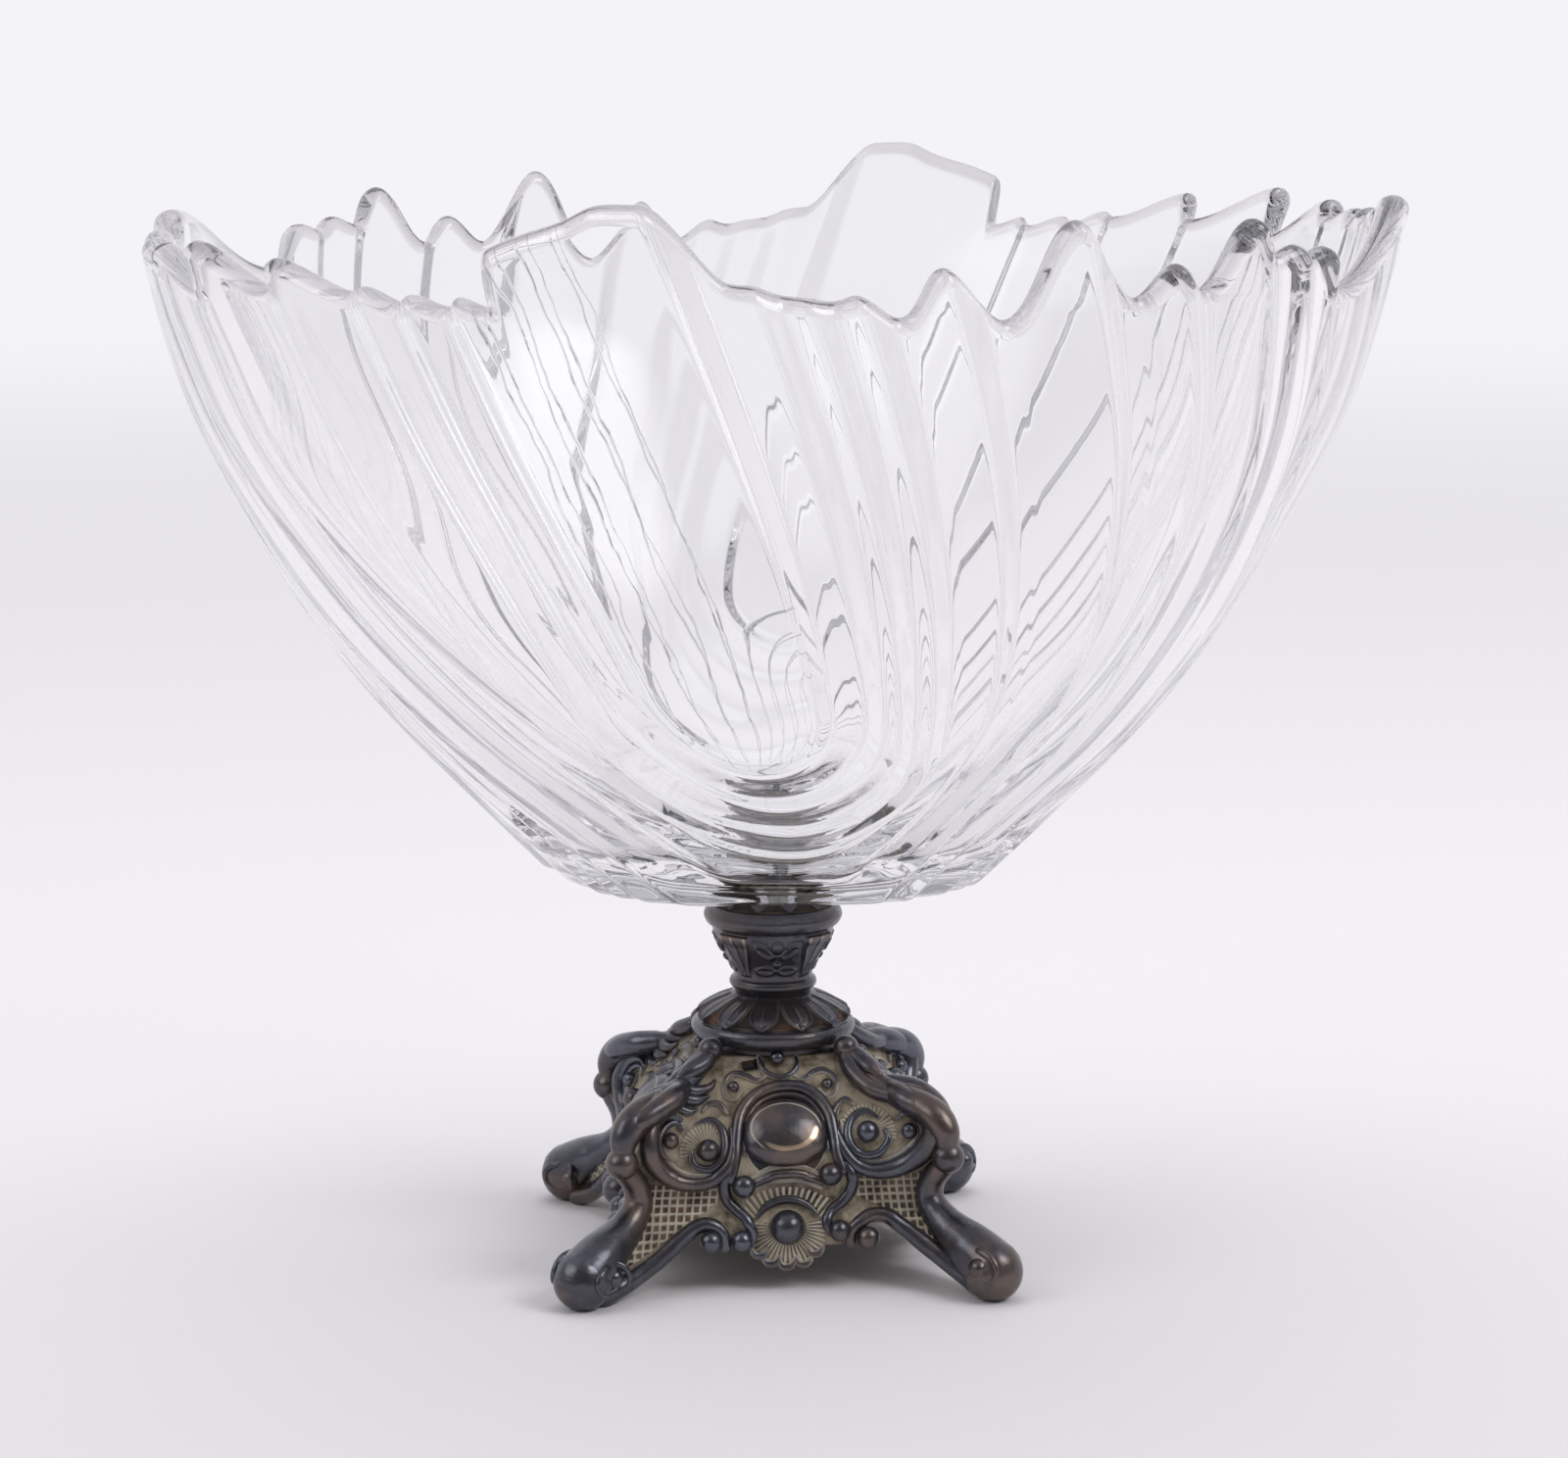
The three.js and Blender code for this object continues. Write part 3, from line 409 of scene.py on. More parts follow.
def silver_material(name, pale=1.0, warmth=0.6, seed=0.0):
    """Oxidised silver plate by its relief: pits painted dark as shade, some copper-brown, beige dirt, pale
    low ridges, metal above, and a patch of wear painted bright as a highlight.
    """
    material, tree, shader = node_material(name)
    patches = noise(tree, 55.0, 5.0, 0.62, seed=seed)
    fine = noise(tree, 420.0, 5.0, 0.65, seed=seed)
    rough = maths(tree, "MULTIPLY", maths(tree, "SUBTRACT", fine, 0.5), RELIEF_UNEVENNESS)
    uneven = maths(tree, "ADD", attribute_value(tree, "relief"), rough)
    clean = between(tree, uneven, *CLEAN_METAL)
    tint = ramp(tree, patches, [(0.38, SILVER_BLUE), (0.52, SILVER_DARK), (0.62, SILVER_WARM)])
    copper = between(tree, noise(tree, 120.0, 3.0, 0.6, seed=seed + 4), 0.52, 0.62)
    # Painted shade: the pits are painted near black, some of them copper-brown
    pit = mix_color(tree, copper, PIT_SHADE, PIT_COPPER)
    dirt_share = between(tree, noise(tree, 230.0, 4.0, 0.6, seed=seed + 2), 0.34, 0.56, 0.0, pale)
    dirt = mix_color(tree, dirt_share, GRIME_BROWN, GRIME_PALE)
    low = mix_color(tree, between(tree, uneven, *OUT_OF_PIT), pit, dirt)
    clear = between(tree, noise(tree, 75.0, 3.0, 0.6, seed=seed + 8), 0.38, 0.6, 0.35 * pale, pale)
    on_ridge = maths(tree, "MULTIPLY", between(tree, uneven, *ON_RIDGE), clear)
    low = mix_color(tree, on_ridge, low, RIDGE_PALE)
    color = mix_color(tree, clean, low, mix_color(tree, warmth, SILVER_DARK, tint))
    # Painted highlight: the cabochon's patch of wear is painted bright and warm
    color = mix_color(tree, between(tree, uneven, *WORN_HIGHLIGHT_RELIEF), color, WORN_HIGHLIGHT)
    metallic = between(tree, clean, 0.0, 1.0, 0.08, 0.88)
    polish = between(tree, patches, 0.3, 0.7, 0.22, 0.34)
    dull = maths(tree, "MULTIPLY", maths(tree, "SUBTRACT", 1.0, clean), 0.4)
    roughness = maths(tree, "ADD", polish, dull, clamp=True)
    look = {"Base Color": color, "Metallic": metallic, "Roughness": roughness, "Specular IOR Level": 0.5}
    set_inputs(tree, shader, look)
    dents = noise(tree, 160.0, 2.0, 0.5, seed=seed + 6)
    bump(tree, shader, maths(tree, "ADD", dents, maths(tree, "MULTIPLY", fine, 0.16)), 0.0009, 0.5)
    return material


def plain_metal(name, color, roughness, seed):
    material, tree, shader = node_material(name)
    patches = noise(tree, 160.0, 5.0, 0.6, seed=seed)
    mottled = ramp(tree, patches, [(0.35, tuple(0.55 * c for c in color)), (0.62, color)])
    dulled = between(tree, patches, 0.3, 0.7, roughness, roughness + 0.15)
    set_inputs(tree, shader, {"Base Color": mottled, "Metallic": 0.9, "Roughness": dulled})
    bump(tree, shader, noise(tree, 600.0, 4.0, seed=seed), 0.0001, 0.4)
    return material


CAP_DARK = (0.055, 0.05, 0.047)
CAP_BROWN = (0.12, 0.11, 0.105)
CAP_WARM = (0.34, 0.27, 0.23)
CAP_DOME_PALE = (0.74, 0.73, 0.76)


def cap_metal():
    """The cap's mottled dark plate, pale on its upper dome."""
    material, tree, shader = node_material("cap_mottled")
    patches = noise(tree, 160.0, 5.0, 0.6, seed=5.0)
    mottled = ramp(tree, patches, [(0.35, CAP_DARK), (0.62, CAP_BROWN), (0.78, CAP_WARM)])
    # Pale on the upper dome, mottled dark below its edge
    color = mix_color(tree, attribute_value(tree, "relief"), mottled, CAP_DOME_PALE)
    dulled = between(tree, patches, 0.3, 0.7, 0.3, 0.45)
    set_inputs(tree, shader, {"Base Color": color, "Metallic": 0.9, "Roughness": dulled})
    bump(tree, shader, patches, 0.0002, 0.4)
    return material


def soft_material(name, color, roughness, transmission=0.0, seed=0.0):
    material, tree, shader = node_material(name)
    grain = noise(tree, 500.0, 4.0, seed=seed)
    uneven = ramp(tree, grain, [(0.35, color), (0.65, tuple(min(1.0, 1.12 * c) for c in color))])
    look = {"Base Color": uneven, "Roughness": roughness, "Transmission Weight": transmission}
    set_inputs(tree, shader, look)
    bump(tree, shader, grain, 0.0001, 0.3)
    return material


# The bowl's cut, as the solid has it: heights counted from its flat bottom
BOWL_LINE = [[0, 45.5], [15.8, 61], [35.4, 79.3], [55, 94], [74.6, 105.5], [94.2, 114.8],
             [113.8, 120.8], [128.2, 124], [142.2, 126.5]]
BOWL_FLOOR = 8
BOWL_FLOOR_R = 33
BOWL_HOLE_R = 4
BOWL_WALL = 3.3
BOWL_WALL_LOW = 6
RIM_ROUND = 2.9
RIM_SOFTNESS = 0.4
LIP_DEEP = 3.2
RIM_STEP = 0.04
FACET_DEPTH = 5
FACET_HALF_ANGLE = 34
FACET_H = 12
FACET_SHARPNESS = 3
FACET_FADE = 6
RIM_SLOPE = 0.018
TONGUE_AZIMUTH = -20.9
TONGUE_DRIFT = 0.165
TONGUE_RIM_H = 120.2
# Each ridge: degrees from the tongue's middle, height where its U closes, height over which it turns in,
# rim height at the ridge and past it, and degrees from the ridge to the groove outside it
RIDGES_RIGHT = [
    (9.2, 33.7, 10, 139.5, 125.6, 4.6),
    (15.5, 26.7, 18, 125.4, 123.4, 2.6),
    (19.6, 20.2, 17, 123.1, 122.2, 2.3),
    (24, 14.2, 18, 123.4, 118.9, 3.1),
    (31.9, 5.2, 46, 127.8, 117.8, 4.2),
    (44.7, -9.8, 75, 135.2, 120.4, 4.4),
    (54.1, -21.8, 110, 126.5, 121, 2.2),
    (64, -29.8, 110, 133.6, 125.6, 1.8),
    (69.8, -34.8, 110, 128, 125.2, 1.4),
    (74.7, -39.8, 110, 127, 118.5, 4),
    (102.5, -69.8, 120, 133.2, 128, 2.2),
]
RIDGES_LEFT = [
    (10.3, 33.7, 15, 123.8, 121.4, 1.3),
    (15.3, 26.7, 25, 123.7, 122.1, 1.3),
    (20, 20.2, 17, 124.9, 123.7, 1.3),
    (30.2, 14.2, 40, 129.3, 123.7, 1.4),
    (43.6, 5.2, 99, 131.3, 121.4, 1.6),
    (54.4, -9.8, 90, 129.8, 126, 1.4),
    (61.5, -21.8, 110, 128.7, 126.5, 1.3),
    (65.8, -29.8, 110, 129.5, 127.5, 1.2),
    (71.5, -34.8, 110, 130.3, 128, 1.3),
]
TONGUE_TOP = [[-6.2, 131.5], [-3, 133.9], [2, 136.8], [5.2, 139.4], [9.2, 139.5]]
TONGUE_CORNER_FALL = 1.0
TONGUE_CLOSING = 1.6
RIDGE_DEPTH = 1.4
RIDGE_DEPTH_PER_TOOTH = 0.12
SEAM_ANGLE = 106
FOLLOWED_RIDGE = 5
LEAST_CLOSING = 0.5
MOST_FALL = 0.7
STEP_WIDTH = 2.3
BOWL_COLUMNS_HALF = 860
STEEP_RIM = 6.0
STEEP_CROWDING = 2.5
LEVEL_ROWS_TO = 96
BOWL_ROWS_OUT = (150, 54)
BOWL_ROWS_IN = (56, 34)
BOWL_ROUND_ROWS = 14
MIDDLE_BLEND = 8.0
CREST_SOFTENING = 3
BOTTOM_ROUND = 1.2
FOLD_MIDDLE = 0.3
RIGHT_LINES_TO = 50
INNER_BEND = 7.0
INNER_BEND_REACH = 6.5
INNER_RIPPLE = 0.14
FLOOR_RINGS = (24.0, 16.0, 10.0, BOWL_HOLE_R)
BOTTOM_RINGS = (BOWL_HOLE_R, 14.0, 26.0, 36.0)

bowl_radius = curve_through(BOWL_LINE)


def side_tables(ridges, end):
    at, closes, bend, tip, foot, fall = np.array(ridges, float).T
    return {
        "at": np.concatenate([[0], at]),
        "closes": np.concatenate([[closes[0] * TONGUE_CLOSING], closes]),
        "bend": np.concatenate([[bend[0]], bend]),
        "tip": tip, "foot": foot, "fall": fall,
        "depth": RIDGE_DEPTH + RIDGE_DEPTH_PER_TOOTH * (tip - foot),
        "share": np.minimum(np.minimum(fall, STEP_WIDTH) / (np.append(at[1:], end) - at), MOST_FALL),
        "count": len(ridges),
    }


SIDES = {1: side_tables(RIDGES_RIGHT, SEAM_ANGLE), -1: side_tables(RIDGES_LEFT, 180 - SEAM_ANGLE)}
DEEPEST = max(SIDES[1]["depth"].max(), SIDES[-1]["depth"].max())
tongue_top = curve_through(TONGUE_TOP)


def u_width(side, order, height):
    """Half width, in degrees, of the U at a place among the ridges, and how far it has closed in."""
    table = SIDES[side]
    steps = np.arange(table["count"] + 1)
    at = np.interp(order, steps, table["at"])
    closes = np.interp(order, steps, table["closes"])
    bend = np.interp(order, steps, table["bend"])
    closing = np.sqrt(np.maximum(1 - (1 - np.clip((height - closes) / bend, 0, 1)) ** 2, 0))
    return np.where(height < closes, -1.0, at * closing), closing


def groove_depth(side, angle, height):
    table = SIDES[side]
    low = np.zeros_like(angle)
    high = np.full_like(angle, table["count"])
    for _ in range(22):
        middle = (low + high) / 2
        inside = u_width(side, middle, height)[0] < angle
        low = np.where(inside, middle, low)
        high = np.where(inside, high, middle)
    order = (low + high) / 2
    index = np.clip(np.floor(order).astype(int), 1, table["count"]) - 1
    depth, share = table["depth"][index], table["share"][index]
    t = order - np.floor(order)
    falling = np.clip(t / share, 0, 1)
    rising = 1 - np.clip((t - share) / (1 - share), 0, 1) ** 1.06
    last_at = u_width(side, np.full_like(angle, table["count"]), height)[0]
    past = smooth((angle - last_at) / table["fall"][-1])
    is_last = order > table["count"] - 1e-4
    result = depth * np.where(is_last, past, np.where(t < share, falling, rising))
    return np.where(order < 1, 0.0, result)


def rim_height_raw(signed):
    side = 1 if signed >= 0 else -1
    angle = abs(signed)
    table = SIDES[side]
    at = table["at"][1:]
    corner = -TONGUE_TOP[0][0]
    if (side > 0 and angle <= at[0]) or (side < 0 and angle <= corner):
        return float(tongue_top(signed))
    if side < 0 and angle < at[0]:
        fallen = float(smooth((angle - corner) / TONGUE_CORNER_FALL))
        risen = float(smooth((angle - corner - TONGUE_CORNER_FALL) / (at[0] - corner)))
        groove = table["foot"][0] + (table["tip"][0] - table["foot"][0]) * risen
        return TONGUE_TOP[0][1] + (groove - TONGUE_TOP[0][1]) * fallen
    index = int(np.nonzero(at <= angle)[0][-1])
    past = angle - at[index]
    tip, foot, fall = table["tip"][index], table["foot"][index], table["fall"][index]
    if past <= fall or index == table["count"] - 1:
        return tip + (foot - tip) * float(smooth(past / fall))
    rise = (past - fall) / (at[index + 1] - at[index] - fall)
    return foot + (table["tip"][index + 1] - foot) * float(smooth(rise))


def rim_outline():
    """The rim's height at evenly spaced angles over half the rim, softened as fire polishing does."""
    angles = np.arange(SEAM_ANGLE - 180, SEAM_ANGLE, RIM_STEP)
    heights = np.array([rim_height_raw(a) for a in angles])
    reach = int(3 * RIM_SOFTNESS / RIM_STEP)
    soft = np.exp(-0.5 * (np.arange(-reach, reach + 1) * RIM_STEP / RIM_SOFTNESS) ** 2)
    around = np.concatenate([heights[-reach:], heights, heights[:reach]])
    return angles, np.convolve(around, soft / soft.sum(), "valid")


def column_angles(angles, heights):
    """Angles of the mesh's columns, closer together where the rim is steep."""
    crowding = 1 + STEEP_CROWDING * np.clip(np.abs(np.gradient(heights, RIM_STEP)) / STEEP_RIM, 0, 1)
    along = np.concatenate([[0], np.cumsum(crowding)])
    shares = np.arange(BOWL_COLUMNS_HALF) / BOWL_COLUMNS_HALF
    return np.interp(shares, along / along[-1], np.append(angles, SEAM_ANGLE))


def row_heights(start, tops, rows):
    """Heights of the mesh's rows: level ones, and above them ones that follow the rim."""
    level = np.linspace(start, LEVEL_ROWS_TO, rows[0], endpoint=False)[:, None] + 0 * tops[None, :]
    share = np.linspace(0, 1, rows[1])[:, None]
    return np.concatenate([level, LEVEL_ROWS_TO + share * (tops[None, :] - LEVEL_ROWS_TO)])


def closed_in(rim_angles, heights):
    """Each column's angle from the tongue's middle: it closes in as the ridges do."""
    out = np.zeros(heights.shape)
    for side in (1, -1):
        mask = (rim_angles >= 0) if side > 0 else (rim_angles < 0)
        angle = np.abs(rim_angles[mask])
        table = SIDES[side]
        order = np.interp(angle, table["at"], np.arange(table["count"] + 1))
        order = np.maximum(order, FOLLOWED_RIDGE)
        h = heights[:, mask]
        closing = np.maximum(u_width(side, order[None, :] + 0 * h, h)[1], LEAST_CLOSING)
        last = table["at"][-1]
        end = SEAM_ANGLE if side > 0 else 180 - SEAM_ANGLE
        out_share = np.clip((angle - last) / (end - last), 0, 1)
        out[:, mask] = side * angle * (closing + (1 - closing) * out_share)
    return out


def cut_depth(heights, angles):
    """Depth of the grooves, with the two sides' cuts run into each other at the tongue's middle."""
    right = np.zeros_like(heights)
    left = np.zeros_like(heights)
    mask = angles > -MIDDLE_BLEND
    right[mask] = groove_depth(1, np.abs(angles[mask]), heights[mask])
    mask = angles < MIDDLE_BLEND
    left[mask] = groove_depth(-1, np.abs(angles[mask]), heights[mask])
    share = smooth((angles + MIDDLE_BLEND) / (2 * MIDDLE_BLEND))
    depth = left + (right - left) * share
    for _ in range(CREST_SOFTENING):
        depth = (np.roll(depth, 1, 1) + 2 * depth + np.roll(depth, -1, 1)) / 4
        depth[1:-1] = (depth[:-2] + 2 * depth[1:-1] + depth[2:]) / 4
    return depth


def inner_radius(heights):
    wall = BOWL_WALL_LOW + (BOWL_WALL - BOWL_WALL_LOW) * np.clip(heights / TONGUE_RIM_H, 0, 1)
    return bowl_radius(heights) - DEEPEST - wall


def tongue_fold(heights, angles):
    """How far inside the tongue's U a point lies: 0 at its edge and outside, 1 along its middle."""
    fold = np.zeros(heights.shape)
    for side in (1, -1):
        mask = (angles >= 0) if side > 0 else (angles < 0)
        width = np.maximum(u_width(side, np.ones(mask.sum()), heights[mask])[0], 0.01)
        middle = FOLD_MIDDLE * width
        reach = np.where(angles[mask] < middle, width + middle, width - middle)
        fold[mask] = 1 - np.abs(angles[mask] - middle) / reach
    fold = np.clip(fold, 0, 1)
    right = smooth((angles - 1.0) / 3) * smooth((heights - RIGHT_LINES_TO) / 20) * (fold > 0)
    return fold + (1 - fold) * right


def make_bowl():
    rim_angles, rim_heights = rim_outline()
    half = column_angles(rim_angles, rim_heights)
    rim = np.interp(half, rim_angles, rim_heights)
    shoulder = rim - RIM_ROUND

    height_out = row_heights(0, shoulder, BOWL_ROWS_OUT)
    angle_out = closed_in(half, height_out)
    in_facet = 1 - np.abs(angle_out) / FACET_HALF_ANGLE
    facet = smooth(in_facet) * smooth(1 - height_out / FACET_H)
    flat = smooth(FACET_SHARPNESS * in_facet) * smooth((FACET_H - height_out) / FACET_FADE)
    cut = (1 - flat) * cut_depth(height_out, angle_out)
    radius_out = bowl_radius(height_out) - cut - FACET_DEPTH * facet
    lowest = np.clip(1 - height_out / BOTTOM_ROUND, 0, 1)
    radius_out -= BOTTOM_ROUND * (1 - np.sqrt(1 - lowest ** 2))

    height_in = row_heights(BOWL_FLOOR + INNER_BEND, shoulder, BOWL_ROWS_IN)[::-1]
    angle_in = closed_in(half, height_in)
    ripple = INNER_RIPPLE * np.sin(np.radians(angle_in) * 9 + height_in * 0.11)
    radius_in = inner_radius(height_in) + ripple * smooth((height_in - 25) / 30)

    rows = [(radius_out, height_out, angle_out)]

    def add_row(radius, height, angle):
        rows.append([np.broadcast_to(v, half.shape)[None, :] for v in (radius, height, angle)])
    top_out, top_in = radius_out[-1], radius_in[0]
    for turn in np.linspace(0, math.pi, BOWL_ROUND_ROWS + 1)[1:-1]:
        across = (top_out + top_in) / 2 + (top_out - top_in) / 2 * math.cos(turn)
        add_row(across, shoulder + RIM_ROUND * math.sin(turn), angle_out[-1])
    rows.append((radius_in, height_in, angle_in))
    wall_low, height_low = radius_in[-1], height_in[-1]
    for t in np.linspace(0, 1, 9)[1:]:
        pull = 2 * t * (1 - t)
        radius = (1 - t) ** 2 * wall_low + pull * (wall_low - INNER_BEND_REACH) + t * t * BOWL_FLOOR_R
        add_row(radius, (1 - t) ** 2 * height_low + (pull + t * t) * BOWL_FLOOR, angle_in[-1])
    for radius in FLOOR_RINGS:
        add_row(radius, float(BOWL_FLOOR), angle_in[-1])
    for radius in BOTTOM_RINGS:
        add_row(radius, 0.0, angle_out[0])
    radius, height, angle = (np.concatenate([row[k] for row in rows]) for k in range(3))

    fold = np.concatenate([tongue_fold(height, angle), 0 * height], 1)
    azimuth = np.radians(TONGUE_AZIMUTH + TONGUE_DRIFT * (TONGUE_RIM_H - height) + angle)
    azimuth = np.concatenate([azimuth, azimuth + math.pi], 1)
    height, radius, rim = np.tile(height, 2), np.tile(radius, 2), np.tile(rim, 2)
    lip = smooth((height - rim + LIP_DEEP) / LIP_DEEP)
    x = radius * np.sin(azimuth)
    y = -radius * np.cos(azimuth)
    lift = RIM_SLOPE * x * np.clip((height - BOWL_FLOOR) / (rim - BOWL_FLOOR), 0, 1) ** 2
    base = box_mm("glass_bowl")[0][2]
    points = np.stack([x, y, height + lift + base], -1)
    return (points.reshape(-1, 3), loop_faces(*height.shape)), fold.ravel(), lip.ravel()


# The foot's skin: heights against distances from the axis; its upper arms lie lower than the solids' do
TOE_SPACING = 40.3
TOE_R = 5.9
TOE_WORN = 0.25
FOOT_WALL = 2.4
SEAM = 11.35
FACE_LINE = [[2, 31.6], [10, 31], [17, 30], [24, 28.2], [30, 25], [37, 19.6], [44, 13.4]]
CORNER_LINE = [[1.5, 41], [5.5, 41.5], [9.5, 37], [12, 32.6], [16, 29], [20, 28.2], [25, 29.4],
               [29, 31.4], [32.5, 31.2], [35.2, 28.6], [37.4, 24], [39.8, 18.2], [43.2, 13.5], [44, 13.2]]
CORNER_SHARPNESS = 3.2
CELL = 0.18
LEG_LOWEST = 1.5
LEGS = ("leg_front_right", "leg_back_right", "leg_back_left", "leg_front_left")
PANELS = ("side_panel_front", "side_panel_right", "side_panel_back", "side_panel_left")

face_line = curve_through(FACE_LINE)
corner_line = curve_through(CORNER_LINE)
foot_top = box_mm("side_panel_back")[1][2]


def face_distance(across, height):
    corner = corner_line(height)
    middle = np.minimum(face_line(height), corner)
    share = np.clip(np.abs(across) / corner, 0, 1)
    return middle + (corner - middle) * share ** CORNER_SHARPNESS


def face_normal(across, height):
    d = 0.05
    slope_across = (face_distance(across + d, height) - face_distance(across - d, height)) / (2 * d)
    slope_up = (face_distance(across, height + d) - face_distance(across, height - d)) / (2 * d)
    normal = np.stack([-slope_across, -np.ones_like(slope_up), -slope_up], -1)
    return normal / np.linalg.norm(normal, axis=-1, keepdims=True)


def on_face(across, height, lift=0.0):
    """Points over the front face, lifted square out of the skin."""
    across, height = np.asarray(across, float), np.asarray(height, float)
    base = np.stack([across, -face_distance(across, height), height], -1)
    return base + face_normal(across, height) * np.broadcast_to(lift, across.shape)[..., None]


MOST_LIFT = 2.0


def skin_lift(points):
    """How far points stand out of the foot's skin, at most MOST_LIFT."""
    x, y, z = points.T
    out_of_faces = np.maximum(np.abs(y) - face_distance(x, z), np.abs(x) - face_distance(y, z))
    return np.minimum(out_of_faces, MOST_LIFT)


def face_tube(line, radii, lift, sides=16):
    """A tube over the front face: its line is [across, height] rows."""
    across, height = resampled(line, 5 * len(line)).T
    return tube(on_face(across, height, lift), radii, sides)


def set_on_face(points, at, lift):
    """Points made round the origin, with Z out of the face, moved to a place on it."""
    normal = face_normal(*map(np.float64, at))
    side = np.cross(UP, normal)
    side /= np.linalg.norm(side)
    return points @ np.array([side, np.cross(normal, side), normal]) + on_face(*at, lift)


def face_ball(at, radius, lift):
    points, faces = ball((0, 0, 0), radius)
    return set_on_face(points, at, lift), faces


def shrunk(line, centre, share):
    """A line drawn in towards a centre, without its end points."""
    middle = np.array(centre)
    return [middle + share * (np.array(at) - middle) for at in line[1:-1]]


def spokes(across, up, centre, inner, outer, count, depth, valley):
    """Radial flutes round a centre, between two radii."""
    dx, dz = across - centre[0], (up - centre[1]) * 1.12
    wave = (0.5 + 0.5 * np.cos(count * np.arctan2(dz, dx))) ** 0.55
    return window(np.hypot(dx, dz), inner, 0.3, outer, 0.3) * (depth * wave - valley * (1 - wave))


# The casting's ornament, as [across, height] on a face; it isn't quite alike left and right
ORNAMENT = {
    -1: {
        "scroll": [[20.4, 33.4], [23.1, 34.3], [26, 33.4], [27, 29.9], [26.1, 26.6], [23.5, 23.5],
                   [20.2, 21.9], [16.4, 21.6], [13.2, 22.8], [10.8, 25.2], [9.9, 28.4], [10.1, 31.2]],
        "scroll_r": [0.5, 1.1, 1.7, 2.1, 2.1, 1.9, 1.7, 1.5, 1.35, 1.2, 1.0, 0.7],
        "eye": [15.1, 27.6],
        "collar": [[17.2, 32.4], [14.2, 32.9], [11.9, 30.8], [11.8, 27.2], [14.2, 24.4], [17.6, 25],
                   [18.4, 27.6]],
        "curl": [22.6, 29.9],
        "curl_hook": [[20.2, 31.6], [21.4, 33], [23.6, 32.4], [24.9, 30.2], [24.2, 27.6], [22.4, 26.3]],
        "rail_ridge": [[28.2, 23.5], [27.8, 20.5], [27.9, 15.7], [29.8, 12], [31.8, 10.6], [34, 8.2]],
        "skirt": [[11.9, 9.4], [12.3, 11.8], [14.2, 13.4], [16.9, 13.5], [20.5, 11.2], [24.4, 8.1],
                  [28.2, 5.6], [31.9, 3.6], [36.5, 1.9]],
        "outer_ball": [14.8, 10.4],
        "toe_curl": [34.4, 6.0],
        "hatch": [[26.8, 21.5], [12.6, 20.4], [13, 17.6], [19.2, 13.6], [26.8, 9], [32.4, 6]],
        "shoulder": [[30.6, 31], [29.8, 34.6], [26.4, 37], [22.4, 38.2], [18.6, 39]],
        "leaves": [
            ([[13.5, 44.6], [13.9, 43], [15.6, 41.5], [18, 40.3], [20, 39.4]],
             [1.3, 1.9, 2.1, 1.9, 0.9], 1.5),
            ([[20.8, 38.9], [17.6, 37.8], [14.4, 38.2], [13.2, 39.2]], [1.1, 1.35, 1.0, 0.4], 0.9),
            ([[20.4, 37.2], [17.2, 36.4], [14.6, 36.9]], [1.0, 1.2, 0.4], 0.6),
            ([[20.8, 35.6], [18.6, 34.6], [17, 34.9]], [0.8, 0.9, 0.4], 0.4),
            ([[15.8, 34.6], [14.6, 35.7], [12.4, 35.6], [10.9, 33.9]], [0.35, 0.6, 0.65, 0.4], 0.25),
        ],
    },
    1: {
        "scroll": [[26.4, 35.4], [28.4, 35.1], [29.9, 32.8], [29.3, 30], [27.3, 27.3], [24.4, 25],
                   [20.9, 23.6], [17.3, 23.4], [14.2, 24.7], [12.1, 27.2], [10.6, 30.3], [10.1, 33],
                   [11.3, 35.2]],
        "scroll_r": [0.8, 1.5, 2.2, 2.3, 2.2, 2.0, 1.75, 1.5, 1.3, 1.15, 1.0, 0.8, 0.5],
        "eye": [17.0, 30.4],
        "collar": [[19.4, 33], [16.4, 34.1], [13.9, 32.7], [12.9, 30.1], [13.8, 27.6], [16.2, 26.3],
                   [19, 26.8], [20.9, 29.2], [20.4, 31]],
        "curl": [25.2, 31.1],
        "curl_hook": [[22.8, 33], [24.4, 34.2], [26.6, 33.6], [27.6, 31.4], [26.6, 29], [24.6, 27.8]],
        "rail_ridge": [[29.6, 24.5], [29.4, 20.8], [29.6, 16], [31.5, 12.3], [33.8, 10.8], [36, 8.8]],
        "skirt": [[13, 9.8], [13.3, 12.1], [16.5, 14.4], [20.2, 14.5], [23.1, 12.7], [26.6, 10.2],
                  [30.8, 7.3], [34.3, 5], [38, 2.8]],
        "outer_ball": [16.5, 10.6],
        "toe_curl": [37.0, 7.4],
        "hatch": [[28.4, 23], [14.5, 22.4], [14, 18.6], [20.5, 15.4], [27.5, 11], [34, 7.4]],
        "shoulder": [[31.6, 32], [31, 35.4], [27.4, 37.8], [23, 38.8], [18.6, 39.6]],
        "leaves": [
            ([[12.8, 45.6], [13.3, 42.9], [14.6, 40.2], [17.5, 38], [21.4, 37], [25.6, 37.4], [29, 36.8]],
             [1.3, 1.7, 1.8, 1.8, 1.7, 1.6, 1.0], 1.1),
            ([[14.6, 35.2], [12.8, 36.1], [11.5, 35.2], [10.9, 33.6]], [0.35, 0.6, 0.65, 0.4], 0.25),
        ],
    },
}
SCROLL_INNER = 0.76
COLLAR_R = [0.4, 0.75, 0.9, 0.95, 0.95, 0.85, 0.5]
EYE_R = 2.25
EYE_RAYS_TO = 5.8
HATCH_PITCH = 1.55
HATCH_DEPTH = 0.58
HATCH_LEAN = 0.12
HATCH_TOP = 0.3
CREST_LINE = [[13.6, 45.0], [14.4, 43.2], [16.4, 41.0], [20, 38.6], [25.2, 36.9], [29.4, 34.9],
              [31.6, 32.0], [32.0, 29.2]]
